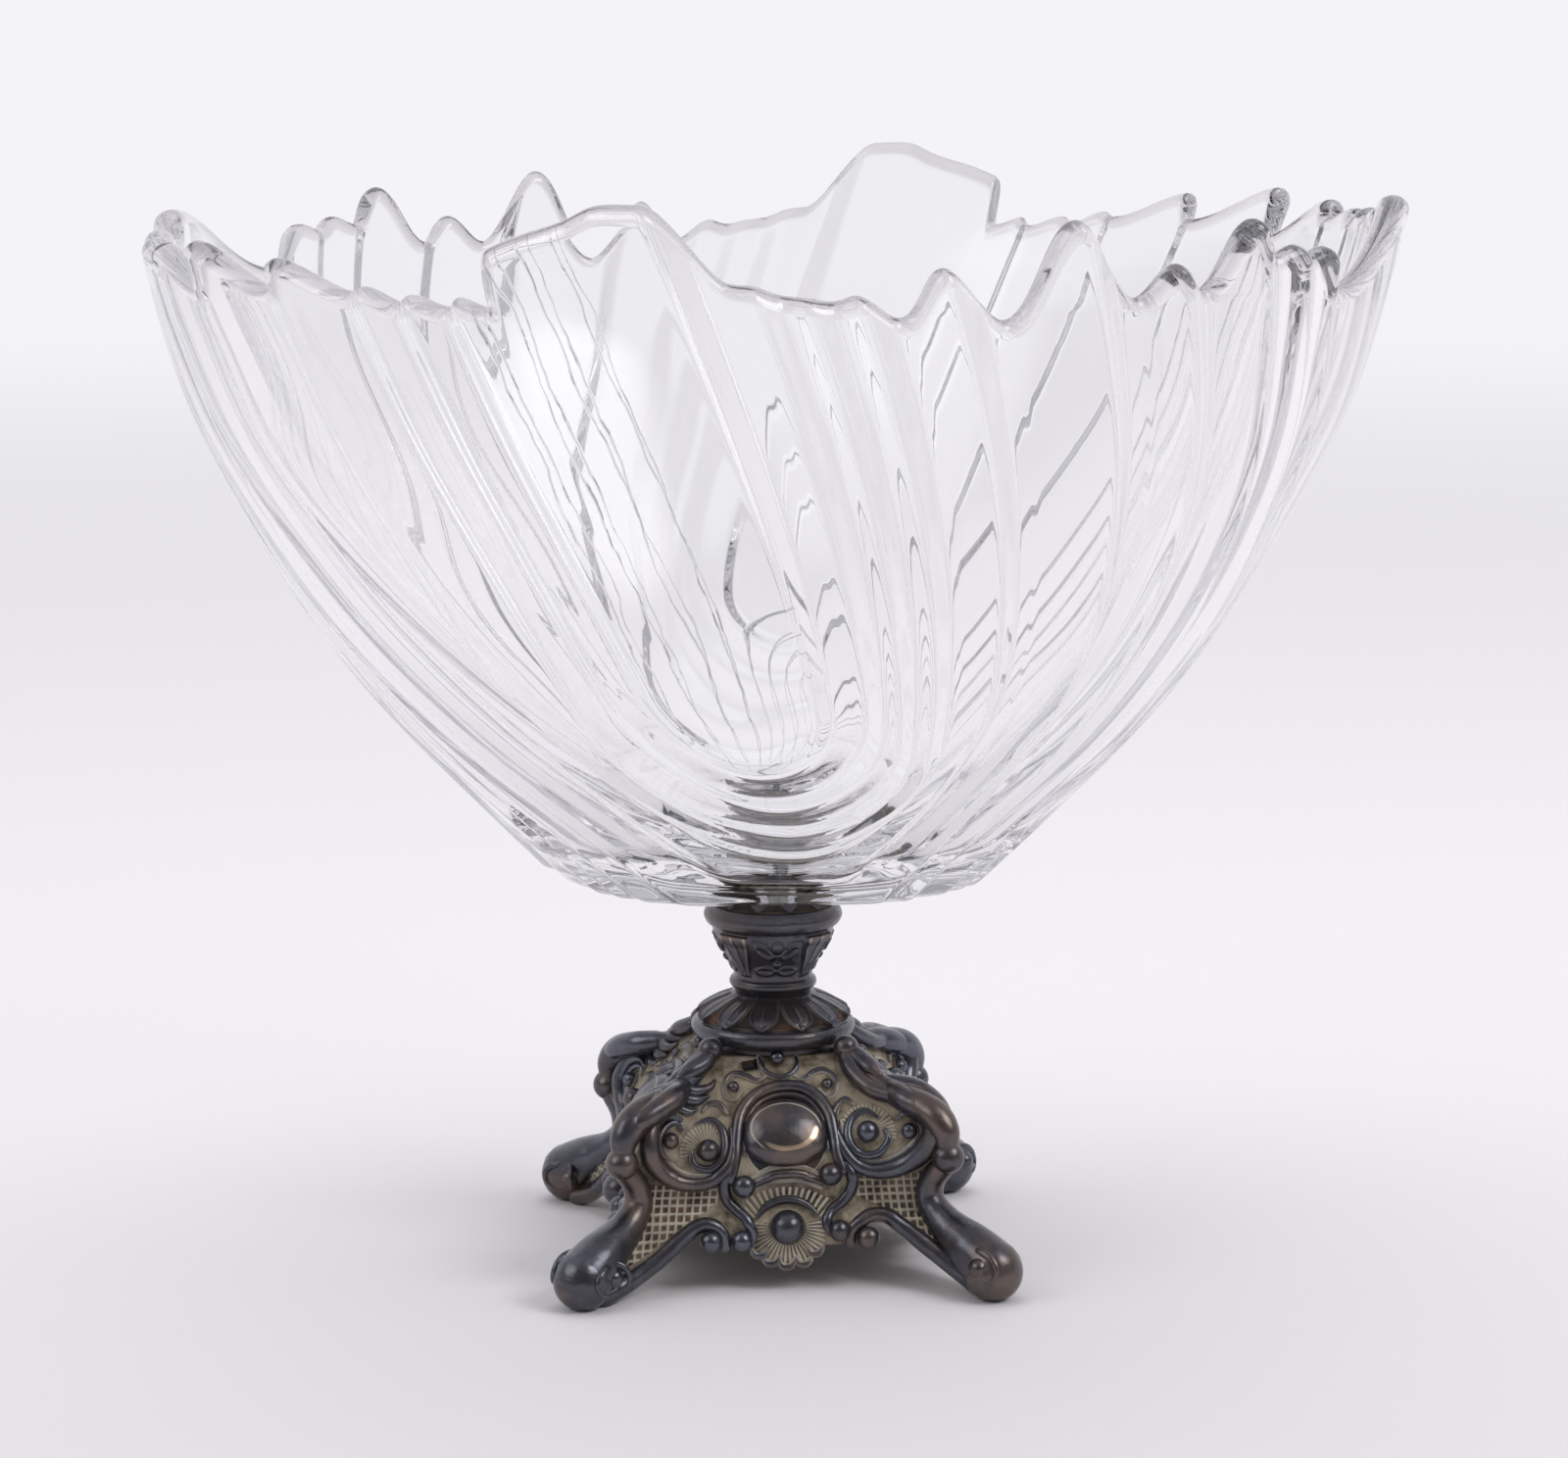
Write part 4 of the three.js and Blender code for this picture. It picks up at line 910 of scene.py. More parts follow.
CREST_R = [2.1, 1.8, 2.2, 2.5, 2.8, 3.2, 3.2, 2.3]
BEAD_AT = [32.2, 26.8]
BEAD_R = 3.25
RAIL_LINE = [[31.5, 25], [29.4, 21.5], [29, 17.5], [31.6, 13.4], [36, 9.8], [40.3, 6.2]]
RAIL_R = [2.3, 2.7, 3.2, 4.1, 5.2, 5.8]
PANEL_CELL = CELL * 0.92
PANEL_LOWEST = 4.4
PANEL_EDGE = 9.2
FRAME_INNER = 0.83
FRAME_LINE = [[-10.6, 22.4], [-9.6, 26.4], [-9.2, 30.2], [-8.3, 33.5], [-5.8, 36.3], [-2.3, 37.8],
              [0.9, 38.2], [4.2, 37.9], [7.2, 36.3], [9.4, 33.4], [10.2, 30], [10.6, 26.6], [11.6, 23.6]]
CABOCHON_AT = [0.5, 30.0]
CABOCHON_HALF = [8.6, 7.6, 3.7]
# The ground round the cabochon is rubbed clean; the foot's inside is dull
CLEANED_R = 8.6
CLEANED_ABOVE = 23
CLEANED_RELIEF = 1.1
INSIDE_RELIEF = -0.1
POLISHED_RELIEF = 2.2
PANEL_BEADS = [[-8, 21.1], [9.1, 22.8]]
STRAPS = [
    [[-11.2, 23.6], [-11.9, 21], [-11.5, 18.4], [-9.7, 16.1], [-7.6, 14.2], [-6.4, 11.9], [-6.9, 9.9]],
    [[12.5, 24.6], [13.6, 22], [13.2, 19.6], [11.6, 17.4], [9.4, 15.6], [8.3, 13.6], [8.9, 11.9]],
]
LOWER_BALLS = [[-8.6, 10.4], [10.8, 12.1]]
PEARL_AT = [0.5, 12.9]
ARCH_OUTER = [[-6.4, 21], [-3, 22.7], [0.5, 23.1], [3.8, 22.9], [7.4, 21.4]]
ARCH_INNER = [[-5.6, 14.4], [-3.2, 16.8], [0.5, 17.9], [4, 17], [6.6, 14.8]]
FLUTE_CENTRE = [0.5, 8.5]
LOBES = [[-5.1, 7.5], [-2.8, 5.9], [0.3, 5.2], [3.6, 5.7], [5.9, 7.7]]
TOP_BEAD_AT = [-0.3, 42.6]
TOP_RING = [[-3.9, 43.2], [-3.3, 41.2], [-0.9, 39.9], [1.8, 40.1], [3.6, 41.6], [3.5, 43.2]]
TOP_CURLS = [
    [[-2.2, 40.3], [-4.6, 39.4], [-6.8, 40.2], [-9.2, 40.6], [-11, 39.2], [-10.9, 36.9], [-9, 36.3],
     [-7.9, 37.6]],
    [[2.6, 40.3], [4.8, 39.6], [6.8, 40.6], [9, 40.9], [10.9, 39.6], [11, 37.4], [9.2, 36.4], [7.9, 37.7]],
]
TOP_EYES = [[-9.4, 38.3], [9.4, 38.5]]
PIERCING = [[-7.4, 41.6], [-5.4, 41.9], [-3.8, 42.1]]
PIERCING_R = 0.95
SKIN_EDGE = 1.5


def inside_outline(across, up, outline):
    """Which points lie in a convex or notched outline."""
    inside = np.zeros(across.shape, bool)
    last = outline[-1]
    for corner in outline:
        crosses = (corner[1] > up) != (last[1] > up)
        edge = corner[0] + (up - corner[1]) * (last[0] - corner[0]) / (last[1] - corner[1] + 1e-9)
        inside ^= crosses & (across < edge)
        last = corner
    return inside


def face_relief(across, up):
    """Height of the carving on one face's skin; across below 0 is the left side."""
    height = np.zeros(across.shape)
    for side in (-1, 1):
        mask = (across * side) > 0
        pattern = ORNAMENT[side]
        a = np.abs(across)
        hatched = inside_outline(a, up, pattern["hatch"]) & mask
        u = (a + HATCH_LEAN * up) / HATCH_PITCH
        v = up / HATCH_PITCH
        pit = np.minimum(np.abs(u - np.round(u)), np.abs(v - np.round(v)))
        height += np.where(hatched, HATCH_TOP - HATCH_DEPTH * smooth((pit - 0.12) / 0.14), 0)
        eye = [pattern["eye"][0] * side, pattern["eye"][1]]
        rays = spokes(across, up, eye, EYE_R - 0.2, EYE_RAYS_TO, 40, 0.32, 0.05)
        height += rays * mask * (up > eye[1] - 1) * ~hatched
    off_middle = np.abs(across - FLUTE_CENTRE[0])
    height += spokes(across, up, FLUTE_CENTRE, 9.2, 13.6, 62, 0.42, 0.3) * (up > 13) * (off_middle < 8.5)
    shell = spokes(across, up, PEARL_AT, 3.4, 9.4, 46, 0.42, 0.12) * (up < 14)
    height += shell * (off_middle < 7.4)
    return height * smooth((corner_line(up) - np.abs(across)) / SKIN_EDGE)


def skin_wall(across, up, skip):
    """The casting's wall: the carved skin and, behind it, the plain inside."""
    height = face_relief(across, up)
    outer = on_face(across, up, height)
    depth = face_distance(across, up)
    shrink = (depth - FOOT_WALL) / depth
    inner = on_face(across, up) * np.stack([shrink, shrink, np.ones_like(shrink)], -1)
    off_cabochon = np.hypot(across - CABOCHON_AT[0], up - CABOCHON_AT[1])
    cleaned = smooth((CLEANED_R - off_cabochon) / 0.6) * (up > CLEANED_ABOVE)
    seen_relief = height + CLEANED_RELIEF * cleaned
    return slab(outer, inner, skip), np.append(seen_relief.ravel(), np.full(height.size, INSIDE_RELIEF))


def cell_middles(grid):
    return (grid[:-1, :-1] + grid[1:, :-1] + grid[:-1, 1:] + grid[1:, 1:]) / 4


def on_toe(side, across, up, lift):
    """Points of the ball toe's front, a lift outside it."""
    left = (TOE_R + lift) ** 2 - (across - TOE_SPACING) ** 2 - (up - TOE_R) ** 2
    return np.stack([side * across, -TOE_SPACING - np.sqrt(np.maximum(left, 0)), up], 1)


def leg_face(side):
    """One of a leg's two faces, laid out on the front: side 1 is right of the front panel, -1 left of it."""
    pattern = ORNAMENT[side]
    rows = np.arange(LEG_LOWEST, foot_top, CELL)
    shares = np.linspace(0, 1, int((TOE_SPACING - SEAM) / CELL))
    up = np.repeat(rows[:, None], len(shares), 1)
    across = SEAM + (corner_line(up) - SEAM) * shares[None, :]
    if side < 0:
        across = -across[:, ::-1]
    skirt = lines_through(pattern["skirt"][1:])
    a, z = np.abs(cell_middles(across)), cell_middles(up)
    skip = z < skirt(a) - 0.2
    wall, relief = skin_wall(across, up, skip)
    parts, reliefs = [wall], [relief]

    def own(line):
        return [[side * x, z] for x, z in line]

    def add(shape, least=0.0):
        parts.append(shape)
        reliefs.append(np.maximum(skin_lift(shape[0]), least))
    add(face_tube(own(pattern["scroll"]), pattern["scroll_r"], 0.55))
    inner_scroll = shrunk(pattern["scroll"], pattern["eye"], SCROLL_INNER)
    add(face_tube(own(inner_scroll), [0.3, 0.5, 0.6, 0.6, 0.5, 0.3], 0.2, 10))
    add(face_ball(own([pattern["eye"]])[0], EYE_R, 0.9))
    add(face_tube(own(pattern["collar"]), COLLAR_R, 0.35))
    add(face_ball(own([pattern["curl"]])[0], 1.7, 0.7))
    add(face_tube(own(pattern["curl_hook"]), [0.4, 0.7, 0.8, 0.8, 0.7, 0.4], 0.45, 12))
    add(face_tube(own(pattern["rail_ridge"]), [0.6, 0.9, 1.0, 1.0, 1.0, 0.8], 0.3, 12))
    add(face_tube(own(pattern["skirt"]), [1.2, 1.45, 1.6, 1.7, 1.8, 1.9, 2.1, 2.5], 0.25), 0.6)
    add(face_ball(own([pattern["outer_ball"]])[0], 2.25, 1.0))
    x, z = pattern["toe_curl"]
    add(ball(on_toe(side, np.array([x]), np.array([z]), -1.0)[0], 2.0))
    turns = np.radians(np.linspace(-70, 210, 24))
    hook = on_toe(side, x + 3.2 * np.cos(turns), z + 3.0 * np.sin(turns), 0.0)
    add(tube(hook, [0.3, 0.65, 0.8, 0.75, 0.3], 12), 0.9)
    add(face_tube(own(pattern["shoulder"]), [1.4, 2.2, 2.6, 2.4, 1.2], -0.2), 0.8)
    for line, radii, lift in pattern["leaves"]:
        add(face_tube(own(line), radii, lift, 14), 0.7)
    return parts, reliefs


def on_corner(line):
    return [[x, -x, z] for x, z in line]


def worn_flat(shape):
    """Nothing reaches below the table."""
    points, faces = shape
    return np.stack([points[:, 0], points[:, 1], np.maximum(points[:, 2], 0)], 1), faces


def make_leg():
    """The front right leg: its front face, its right face a quarter turn on, and its corner's forms."""
    parts, reliefs = leg_face(1)
    turned_parts, turned_reliefs = leg_face(-1)
    parts += [turned_about(shape, 90) for shape in turned_parts]
    reliefs += turned_reliefs
    corner_parts = [
        tube(on_corner(CREST_LINE), CREST_R, 28),
        ball(on_corner([CREST_LINE[0]])[0], 2.5),
        ball(on_corner([BEAD_AT])[0], BEAD_R, 40, 26),
        tube(on_corner(RAIL_LINE), RAIL_R, 32),
        ball((TOE_SPACING, -TOE_SPACING, TOE_R - TOE_WORN), TOE_R, 56, 36),
    ]
    parts += corner_parts
    reliefs += [np.maximum(skin_lift(points), 0.7) for points, _ in corner_parts]
    return worn_flat(merged(parts)), np.concatenate(reliefs)


def cabochon():
    """The panel's boss, smooth from polishing, with a pale line round its crown and a patch of wear at its
    edge painted bright as a highlight.
    """
    unit, faces = ball((0, 0, 0), 1, 72, 48)
    x, z, out = unit.T
    wide = x * (1 + 0.12 * np.clip(-z, 0, 1))
    tall = np.where(z < 0, 0.86 * z, z)
    points = set_on_face(np.stack([wide, tall, out], 1) * CABOCHON_HALF, CABOCHON_AT, 0.1)
    crown = np.hypot(wide / 0.80, (tall - 0.10) / 0.68)
    # Painted highlight over real wear: a bright patch at the lower right of the boss
    worn_highlight = window(crown, 0.68, 0.2, 1.02, 0.06)
    worn_highlight = worn_highlight * smooth((0.12 - tall + 0.25 * wide) / 0.3) * smooth((wide + 0.75) / 0.5)
    front = POLISHED_RELIEF - 1.9 * crest(crown - 1, 0.06) + 3.6 * worn_highlight
    return (points, faces), np.where(out > 0, front, POLISHED_RELIEF)


def make_panel():
    rows = np.arange(PANEL_LOWEST, foot_top, PANEL_CELL)
    columns = np.linspace(-SEAM, SEAM, int(2 * SEAM / PANEL_CELL))
    across, up = np.meshgrid(columns, rows)
    a, z = cell_middles(across), cell_middles(up)
    lobes = np.full(a.shape, PANEL_EDGE)
    for x, low in LOBES:
        lobes = np.minimum(lobes, low + 0.25 + 0.55 * (a - x) ** 2)
    skip = z < lobes
    for x, h in resampled(PIERCING, 12):
        skip |= np.hypot(a - x, z - h) < PIERCING_R
    wall, relief = skin_wall(across, up, skip)
    parts, reliefs = [wall], [relief]

    def add(shape, relief=None):
        parts.append(shape)
        reliefs.append(skin_lift(shape[0]) if relief is None else relief)
    add(face_tube(FRAME_LINE, [1.1, 1.3, 1.35, 1.35, 1.35, 1.3, 1.1], 0.45))
    add(face_tube(shrunk(FRAME_LINE, CABOCHON_AT, FRAME_INNER), [0.4, 0.6, 0.6, 0.6, 0.4], 0.5, 10))
    add(*cabochon())
    for at in PANEL_BEADS:
        add(face_ball(at, 2.35, 1.1))
    for line in STRAPS:
        add(face_tube(line, [1.0, 1.25, 1.3, 1.25, 1.2, 1.15, 1.0], 0.35))
    for at in LOWER_BALLS:
        add(face_ball(at, 2.2, 0.9))
    add(face_ball(PEARL_AT, 3.5, 0.7))
    add(face_tube(ARCH_OUTER, [0.6, 0.9, 1.0, 0.9, 0.6], 0.4))
    add(face_tube([[x, z + 1.35] for x, z in ARCH_OUTER], [0.4, 0.55, 0.6, 0.55, 0.4], 0.2, 10))
    add(face_tube([[x, z - 1.25] for x, z in ARCH_OUTER], [0.4, 0.5, 0.5, 0.5, 0.4], 0.3, 10))
    add(face_tube(ARCH_INNER, [0.4, 0.85, 0.95, 0.85, 0.4], 0.5))
    lobe_turns = np.radians(np.linspace(-85, 85, 9))
    for x, z in LOBES:
        rim = [[x + 1.5 * math.sin(t), z + 1.3 - 1.55 * math.cos(t)] for t in lobe_turns]
        add(face_tube(rim, [0.5, 0.7, 0.8, 0.7, 0.5], 0.3, 10))
    add(face_ball(TOP_BEAD_AT, 1.5, 0.9))
    add(face_tube(TOP_RING, [0.5, 0.65, 0.65, 0.65, 0.5], 0.2, 10))
    for line in TOP_CURLS:
        add(face_tube(line, [0.3, 0.6, 0.7, 0.65, 0.6, 0.5, 0.4], 0.15, 10))
    for at in TOP_EYES:
        add(face_ball(at, 1.2, 0.4))
    return merged(parts), np.concatenate(reliefs)


def make_foot():
    silver = silver_material("silver_foot")
    leg, leg_relief = make_leg()
    panel, panel_relief = make_panel()
    for names, casting, relief in ((LEGS, leg, leg_relief), (PANELS, panel, panel_relief)):
        for node, angle in zip(names, (0, 90, 180, 270)):
            shape = turned_about(casting, angle)
            add_piece(f"{node}_cast", shape, silver, "silver_plate", node, relief=relief)


# The stem: two castings turned and chased, with heights from their solids
ROD_BORE = 2.8
COLLAR_LEAVES = 12
COLLAR_LEAF_TURN = -12.4
CUP_LEAVES = 12
COLLAR_OUTLINE = [[44.7, 14.6], [45.0, 15.6], [45.7, 16.3], [46.6, 16.6], [47.5, 16.55], [48.2, 16.1],
                  [48.5, 15.5], [48.75, 15.3], [49.4, 15.5], [50.2, 15.2], [51, 14.2], [51.9, 12.7],
                  [52.8, 10.8], [53.5, 9.0], [54.1, 7.9]]
COLLAR_LEAF_FROM = 53.6
COLLAR_LEAF_TO = 48.75
CUP_OUTLINE = [[54.1, 7.6], [54.7, 7.9], [55.3, 8.6], [56.0, 8.85], [56.8, 8.6], [57.3, 8.0],
               [58.5, 8.15], [60.1, 8.8], [62.1, 9.9], [64.1, 11.0], [66.2, 12.0], [67.2, 12.3],
               [67.8, 12.6], [68.4, 13.4], [69.8, 14.0], [71.1, 13.6], [71.9, 12.8], [72.3, 12.4],
               [74, 12.0], [76.5, 12.1], [78.5, 12.4]]
CUP_LEAF_FROM = 78.2
CUP_LEAF_TO = 72.3
CUP_DISC_H = 64.6
CUP_PEARL_AT = (0.1, 61)
CUP_PETAL_AT = (0.8, 62.6)
CUP_LOW_PETAL_AT = (2.1, 59.6)
BORE_SIDE_R = 6
OUTLINE_STEP = 0.16
PLAIN_RELIEF = 1.2


def outline_rows(pairs):
    """A closed outline of [radius, height] rows: up the outside, in along the top, down the bore and out."""
    points = resampled([[r, z] for z, r in pairs], 4 * len(pairs))
    length = np.linalg.norm(np.diff(points, axis=0), axis=1).sum()
    outside = resampled([[r, z] for z, r in pairs], int(length / OUTLINE_STEP))
    inside = [[ROD_BORE, pairs[-1][0]], [ROD_BORE, pairs[0][0]]]
    return np.concatenate([outside, inside]), len(outside)


def chased_casting(pairs, around, carve, is_carved, level, per_mm):
    """A turned casting, and its relief: it rises with the height of the chasing where is_carved says so."""
    outline, outside = outline_rows(pairs)
    shape = turned_grid(outline, around, carve)
    x, y, z = shape[0].T
    plain = np.interp(z, outline[:outside, 1], outline[:outside, 0])
    return shape, np.where(is_carved(z), level + per_mm * (np.hypot(x, y) - plain), PLAIN_RELIEF)


def leaf_pattern(turn, t, count, phase):
    """Chased leaves pointing down, t from 0 at the root to 1 at the tip: leaf, rim and midrib."""
    step = 2 * math.pi / count
    phi = (turn - phase + step / 2) % step - step / 2
    phi = phi / (step / 2)
    half = np.clip(1 - np.clip(t, 0, 1) ** 2.6, 0, 1) ** 0.7
    inside = smooth((half - np.abs(phi)) / 0.16)
    rim = crest(np.abs(phi) - half + 0.15, 0.09) * (t < 1)
    midrib = crest(phi, 0.07) * inside
    return inside, rim, midrib


def make_collar():
    def carve(turn, height, radius):
        t = (COLLAR_LEAF_FROM - height) / (COLLAR_LEAF_FROM - COLLAR_LEAF_TO)
        phase = math.radians(COLLAR_LEAF_TURN - 90)
        inside, rim, midrib = leaf_pattern(turn, t, COLLAR_LEAVES, phase)
        leafy = window(height, 48.7, 0.35, 53.9, 0.5) * (radius > BORE_SIDE_R)
        return (-0.95 + 0.75 * inside + 0.55 * rim + 0.25 * midrib) * leafy
    return chased_casting(COLLAR_OUTLINE, 480, carve, lambda z: (z > 48.6) & (z < 53.9), 1.5, 2.2)


def quarter_flowers(across, height):
    """A disc, a pearl below it and curled petals, at one place in each quarter of the cup."""
    def off(x, z):
        return np.hypot(across - x, height - z)
    disc_off = off(0, CUP_DISC_H)
    forms = [0.55 * dome(disc_off, 1.5), 0.45 * crest(disc_off - 1.55, 0.32)]
    forms.append(0.8 * dome(off(*CUP_PEARL_AT), 0.85))
    for side in (-1, 1):
        x, z = side * across - CUP_PETAL_AT[0], height - CUP_PETAL_AT[1]
        petal = np.hypot((x * 0.8 + z * 0.6 - 2.2) / 2.4, z * 0.8 - x * 0.6)
        forms.append(0.5 * crest(petal - 0.85, 0.22) + 0.15 * (petal < 0.85))
        low = np.hypot((side * across - CUP_LOW_PETAL_AT[0]) / 1.9, (height - CUP_LOW_PETAL_AT[1]) / 0.9)
        forms.append(0.4 * crest(low - 0.85, 0.25))
    return np.maximum.reduce(forms)


def make_cup():
    def carve(turn, height, radius):
        azimuth = turn + math.pi / 2
        across = ((azimuth + math.pi / 4) % (math.pi / 2) - math.pi / 4) * radius
        off = (azimuth % (math.pi / 2) - math.pi / 4) * radius
        change = quarter_flowers(across, height)
        leaf = np.abs(off) / np.maximum(1.2 + 2.6 * smooth((height - 58) / 9), 0.1)
        body = smooth((1.0 - leaf) / 0.25)
        band = window(height, 57.6, 0.8, 67.4, 0.5)
        hook = window(height, 64.2, 2.2, 67.5, 0.5)
        chasing = 0.25 * body + 0.4 * crest(leaf - 0.85, 0.13) + 0.2 * crest(off, 0.35)
        change = band * (change + band * chasing + 0.55 * hook * body)
        t = (CUP_LEAF_FROM - height) / (CUP_LEAF_FROM - CUP_LEAF_TO)
        inside, upper_rim, midrib = leaf_pattern(turn, t, CUP_LEAVES, 0.2)
        upper = smooth((height - 72) / 0.4)
        change += upper * (-0.75 + 0.6 * inside + 0.45 * upper_rim + 0.2 * midrib)
        return change * (radius > BORE_SIDE_R)

    def is_carved(z):
        return (z > 57.4) & (z < 67.4) | (z > 72.1)
    return chased_casting(CUP_OUTLINE, 600, carve, is_carved, 1.6, 2.6)


# Small round parts: a ring turned with rounded edges
def ring_outline(radius, low, high, bore, edge):
    corners = []
    for x, z, start in ((radius - edge, low + edge, -90), (radius - edge, high - edge, 0),
                        (bore + edge, high - edge, 90), (bore + edge, low + edge, 180)):
        for turn in np.radians(np.linspace(start, start + 90, 5)):
            corners.append([x + edge * math.cos(turn), z + edge * math.sin(turn)])
    return np.array(corners)


SLEEVE_BORE = 2.8
RINGS = [
    # node, end of the piece's name, slot, bore, edge, points around
    ("crown_plate", "turned", "silver_plate", ROD_BORE, 0.3, 160),
    ("spreader_plate", "turned", "steel", ROD_BORE, 0.25, 160),
    ("lock_washer", "turned", "steel", ROD_BORE, 0.2, 160),
    ("seat_washer", "turned", "washer", 4.2, 0.45, 160),
    ("cap_washer", "turned", "washer", 4.2, 0.4, 160),
    ("hole_sleeve", "tube", "clear_sleeve", SLEEVE_BORE, 0.25, 96),
]
THREAD_PITCH = 0.8
THREAD_DEPTH = 0.35
NUT_AF = 8
ROD_R = 2.5
AXIS_R = 0.02
CAP_LINE = [[88.7, 12.2], [89.1, 12.4], [89.9, 12.4], [90.3, 12.0], [90.7, 10.6], [91.7, 8.8], [92.8, 6.2],
            [93.6, 3.4], [93.9, AXIS_R]]
CAP_EDGE_H = 90.3
CAP_HOLLOW = 1.2
HAMMERING = 0.09


def make_hardware(materials):
    for node, ending, slot_name, bore, edge, around in RINGS:
        low, high = box_mm(node)
        outline = ring_outline(high[0], low[2], high[2], bore, edge)
        add_piece(f"{node}_{ending}", turned_grid(outline, around), materials[slot_name], slot_name, node)

    low, high = box_mm("tie_rod")
    z = np.arange(low[2] + 0.1, high[2] - 0.1, THREAD_PITCH / 10)
    outline = np.array([[AXIS_R, low[2]], [ROD_R - 0.5, low[2]], *[[ROD_R, h] for h in z],
                        [ROD_R - 0.5, high[2]], [AXIS_R, high[2]]])

    def thread(turn, height, radius):
        wave = np.abs((height / THREAD_PITCH - turn / (2 * math.pi)) % 1 - 0.5) * 2
        return np.where(radius > ROD_R - 0.1, -THREAD_DEPTH * wave, 0)
    add_piece("tie_rod_threaded", turned_grid(outline, 64, thread), materials["steel"], "steel", "tie_rod")

    low, high = box_mm("base_nut")
    outline = ring_outline(NUT_AF * 0.62, low[2], high[2], SLEEVE_BORE - 0.1, 0.3)
    middle = (low[2] + high[2]) / 2
    half = (high[2] - low[2]) / 2

    def hexagon(turn, height, radius):
        sixth = (turn + math.pi / 6) % (math.pi / 3) - math.pi / 6
        flat = NUT_AF / 2 / np.cos(sixth)
        chamfer = NUT_AF / 2 + 0.9 * (half - np.abs(height - middle)) + 0.1
        return np.where(radius > NUT_AF * 0.5, np.minimum(flat, chamfer) - radius, 0)
    add_piece("base_nut_hex", turned_grid(outline, 240, hexagon), materials["steel"], "steel", "base_nut",
              edge_split=25)

    cap = resampled([[r, z] for z, r in CAP_LINE], 90)
    foot_h = cap[0][1]
    inside = [[AXIS_R, foot_h + CAP_HOLLOW], [ROD_BORE, foot_h + CAP_HOLLOW], [ROD_BORE, foot_h]]
    outline = np.concatenate([cap, inside])

    def hammered(turn, height, radius):
        dents = HAMMERING * np.sin(7 * turn + height * 2.1) * np.sin(3 * turn - height * 1.7)
        return np.where(radius > 3, dents, 0)
    shape = turned_grid(outline, 256, hammered)
    pale_dome = smooth((shape[0][:, 2] - CAP_EDGE_H) / 0.8)
    add_piece("bowl_cap_turned", shape, materials["dark_cap"], "dark_cap", "bowl_cap", relief=pale_dome)


# Stage, lights and camera
FLOOR_R = 90.0
FAR_PAPER = (0.905, 0.895, 0.925)
NEAR_PAPER = (0.815, 0.795, 0.82)
FRONT_PAPER_SHADE = (0.70, 0.675, 0.70)
ROOM_ASIDE = (0.50, 0.49, 0.53)
ROOM_FRONT = (0.68, 0.67, 0.71)
# What metal shows of the room, from the floor up, and behind the camera
METAL_ROOM = [(0.0, (0.42, 0.42, 0.43)), (0.35, (0.34, 0.34, 0.36)), (0.8, (0.50, 0.50, 0.52))]
METAL_FRONT = (0.13, 0.13, 0.14)
# What light falls on everything else
LIGHT_FRONT = (0.40, 0.40, 0.41)
LIGHT_AROUND = (0.62, 0.62, 0.64)
PAPER_LIT_TO = 0.35
PAPER_FAR_FROM = 2.6
CAMERA_AT = (-0.0687, -0.8974, 0.2598)
CAMERA_TILT = 80.40
CAMERA_TURN = -4.52
CAMERA_FOCUS_PX = 4637.1
IMAGE_WIDTH_PX = 1600
SENSOR_MM = 36
CAMERA_SEES_TO = 300.0
GLASS_BOUNCES = 28
METAL_BOUNCES = 20
SHADOW_BOUNCES = 16


def seen_share(tree):
    """1 where a ray shows the backdrop: from the camera, or by way of glass or metal."""
    seen = maths(tree, "MAXIMUM", ray(tree, "Camera"), ray(tree, "Transmission"))
    return maths(tree, "MAXIMUM", seen, ray(tree, "Glossy"))


def make_floor():
    mesh = bpy.data.meshes.new("floor")
    rings = [0.0, 0.5, 1.5, 5.0, 20.0, FLOOR_R]
    around = 96
    turns = [2 * math.pi * k / around for k in range(around)]
    points = [(0, 0, 0)]
    for r in rings[1:]:
        points += [(r * math.cos(turn), r * math.sin(turn), 0) for turn in turns]
    faces = [(0, 1 + k, 1 + (k + 1) % around) for k in range(around)]
    for ring in range(len(rings) - 2):
        for k in range(around):
            n = (k + 1) % around
            a = 1 + ring * around
            faces.append((a + k, a + around + k, a + around + n, a + n))
    mesh.from_pydata(points, [], faces)
    material, tree, shader = node_material("floor_paper")
    place = add_node(tree, "ShaderNodeTexCoord").outputs["Object"]
    length = add_node(tree, "ShaderNodeVectorMath", {0: place}, operation="LENGTH")
    apart = add_node(tree, "ShaderNodeSeparateXYZ", {"Vector": place})
    # Painted shade: the floor's colour is darker towards the front, on the camera's side
    back = between(tree, apart.outputs["Y"], -0.2, 0.12)
    floor_front_shaded = mix_color(tree, back, FRONT_PAPER_SHADE, NEAR_PAPER)
    set_inputs(tree, shader, {"Base Color": floor_front_shaded, "Roughness": 0.8, "Specular IOR Level": 0.1})
    away = between(tree, length.outputs["Value"], PAPER_LIT_TO, PAPER_FAR_FROM, way="SMOOTHERSTEP")
    depth = maths(tree, "MAXIMUM", maths(tree, "ADD", apart.outputs["Y"], 1.0), 0.1)
    slant = maths(tree, "DIVIDE", maths(tree, "ABSOLUTE", apart.outputs["X"]), depth)
    aside = maths(tree, "MULTIPLY", between(tree, slant, 0.35, 1.3), ray(tree, "Transmission"))
    glow = add_node(tree, "ShaderNodeEmission", {"Color": mix_color(tree, aside, FAR_PAPER, ROOM_ASIDE)})
    set_surface(tree, maths(tree, "MULTIPLY", away, seen_share(tree)), shader, glow)
    mesh.materials.append(material)
    floor = bpy.data.objects.new("floor", mesh)
    bpy.context.scene.collection.objects.link(floor)


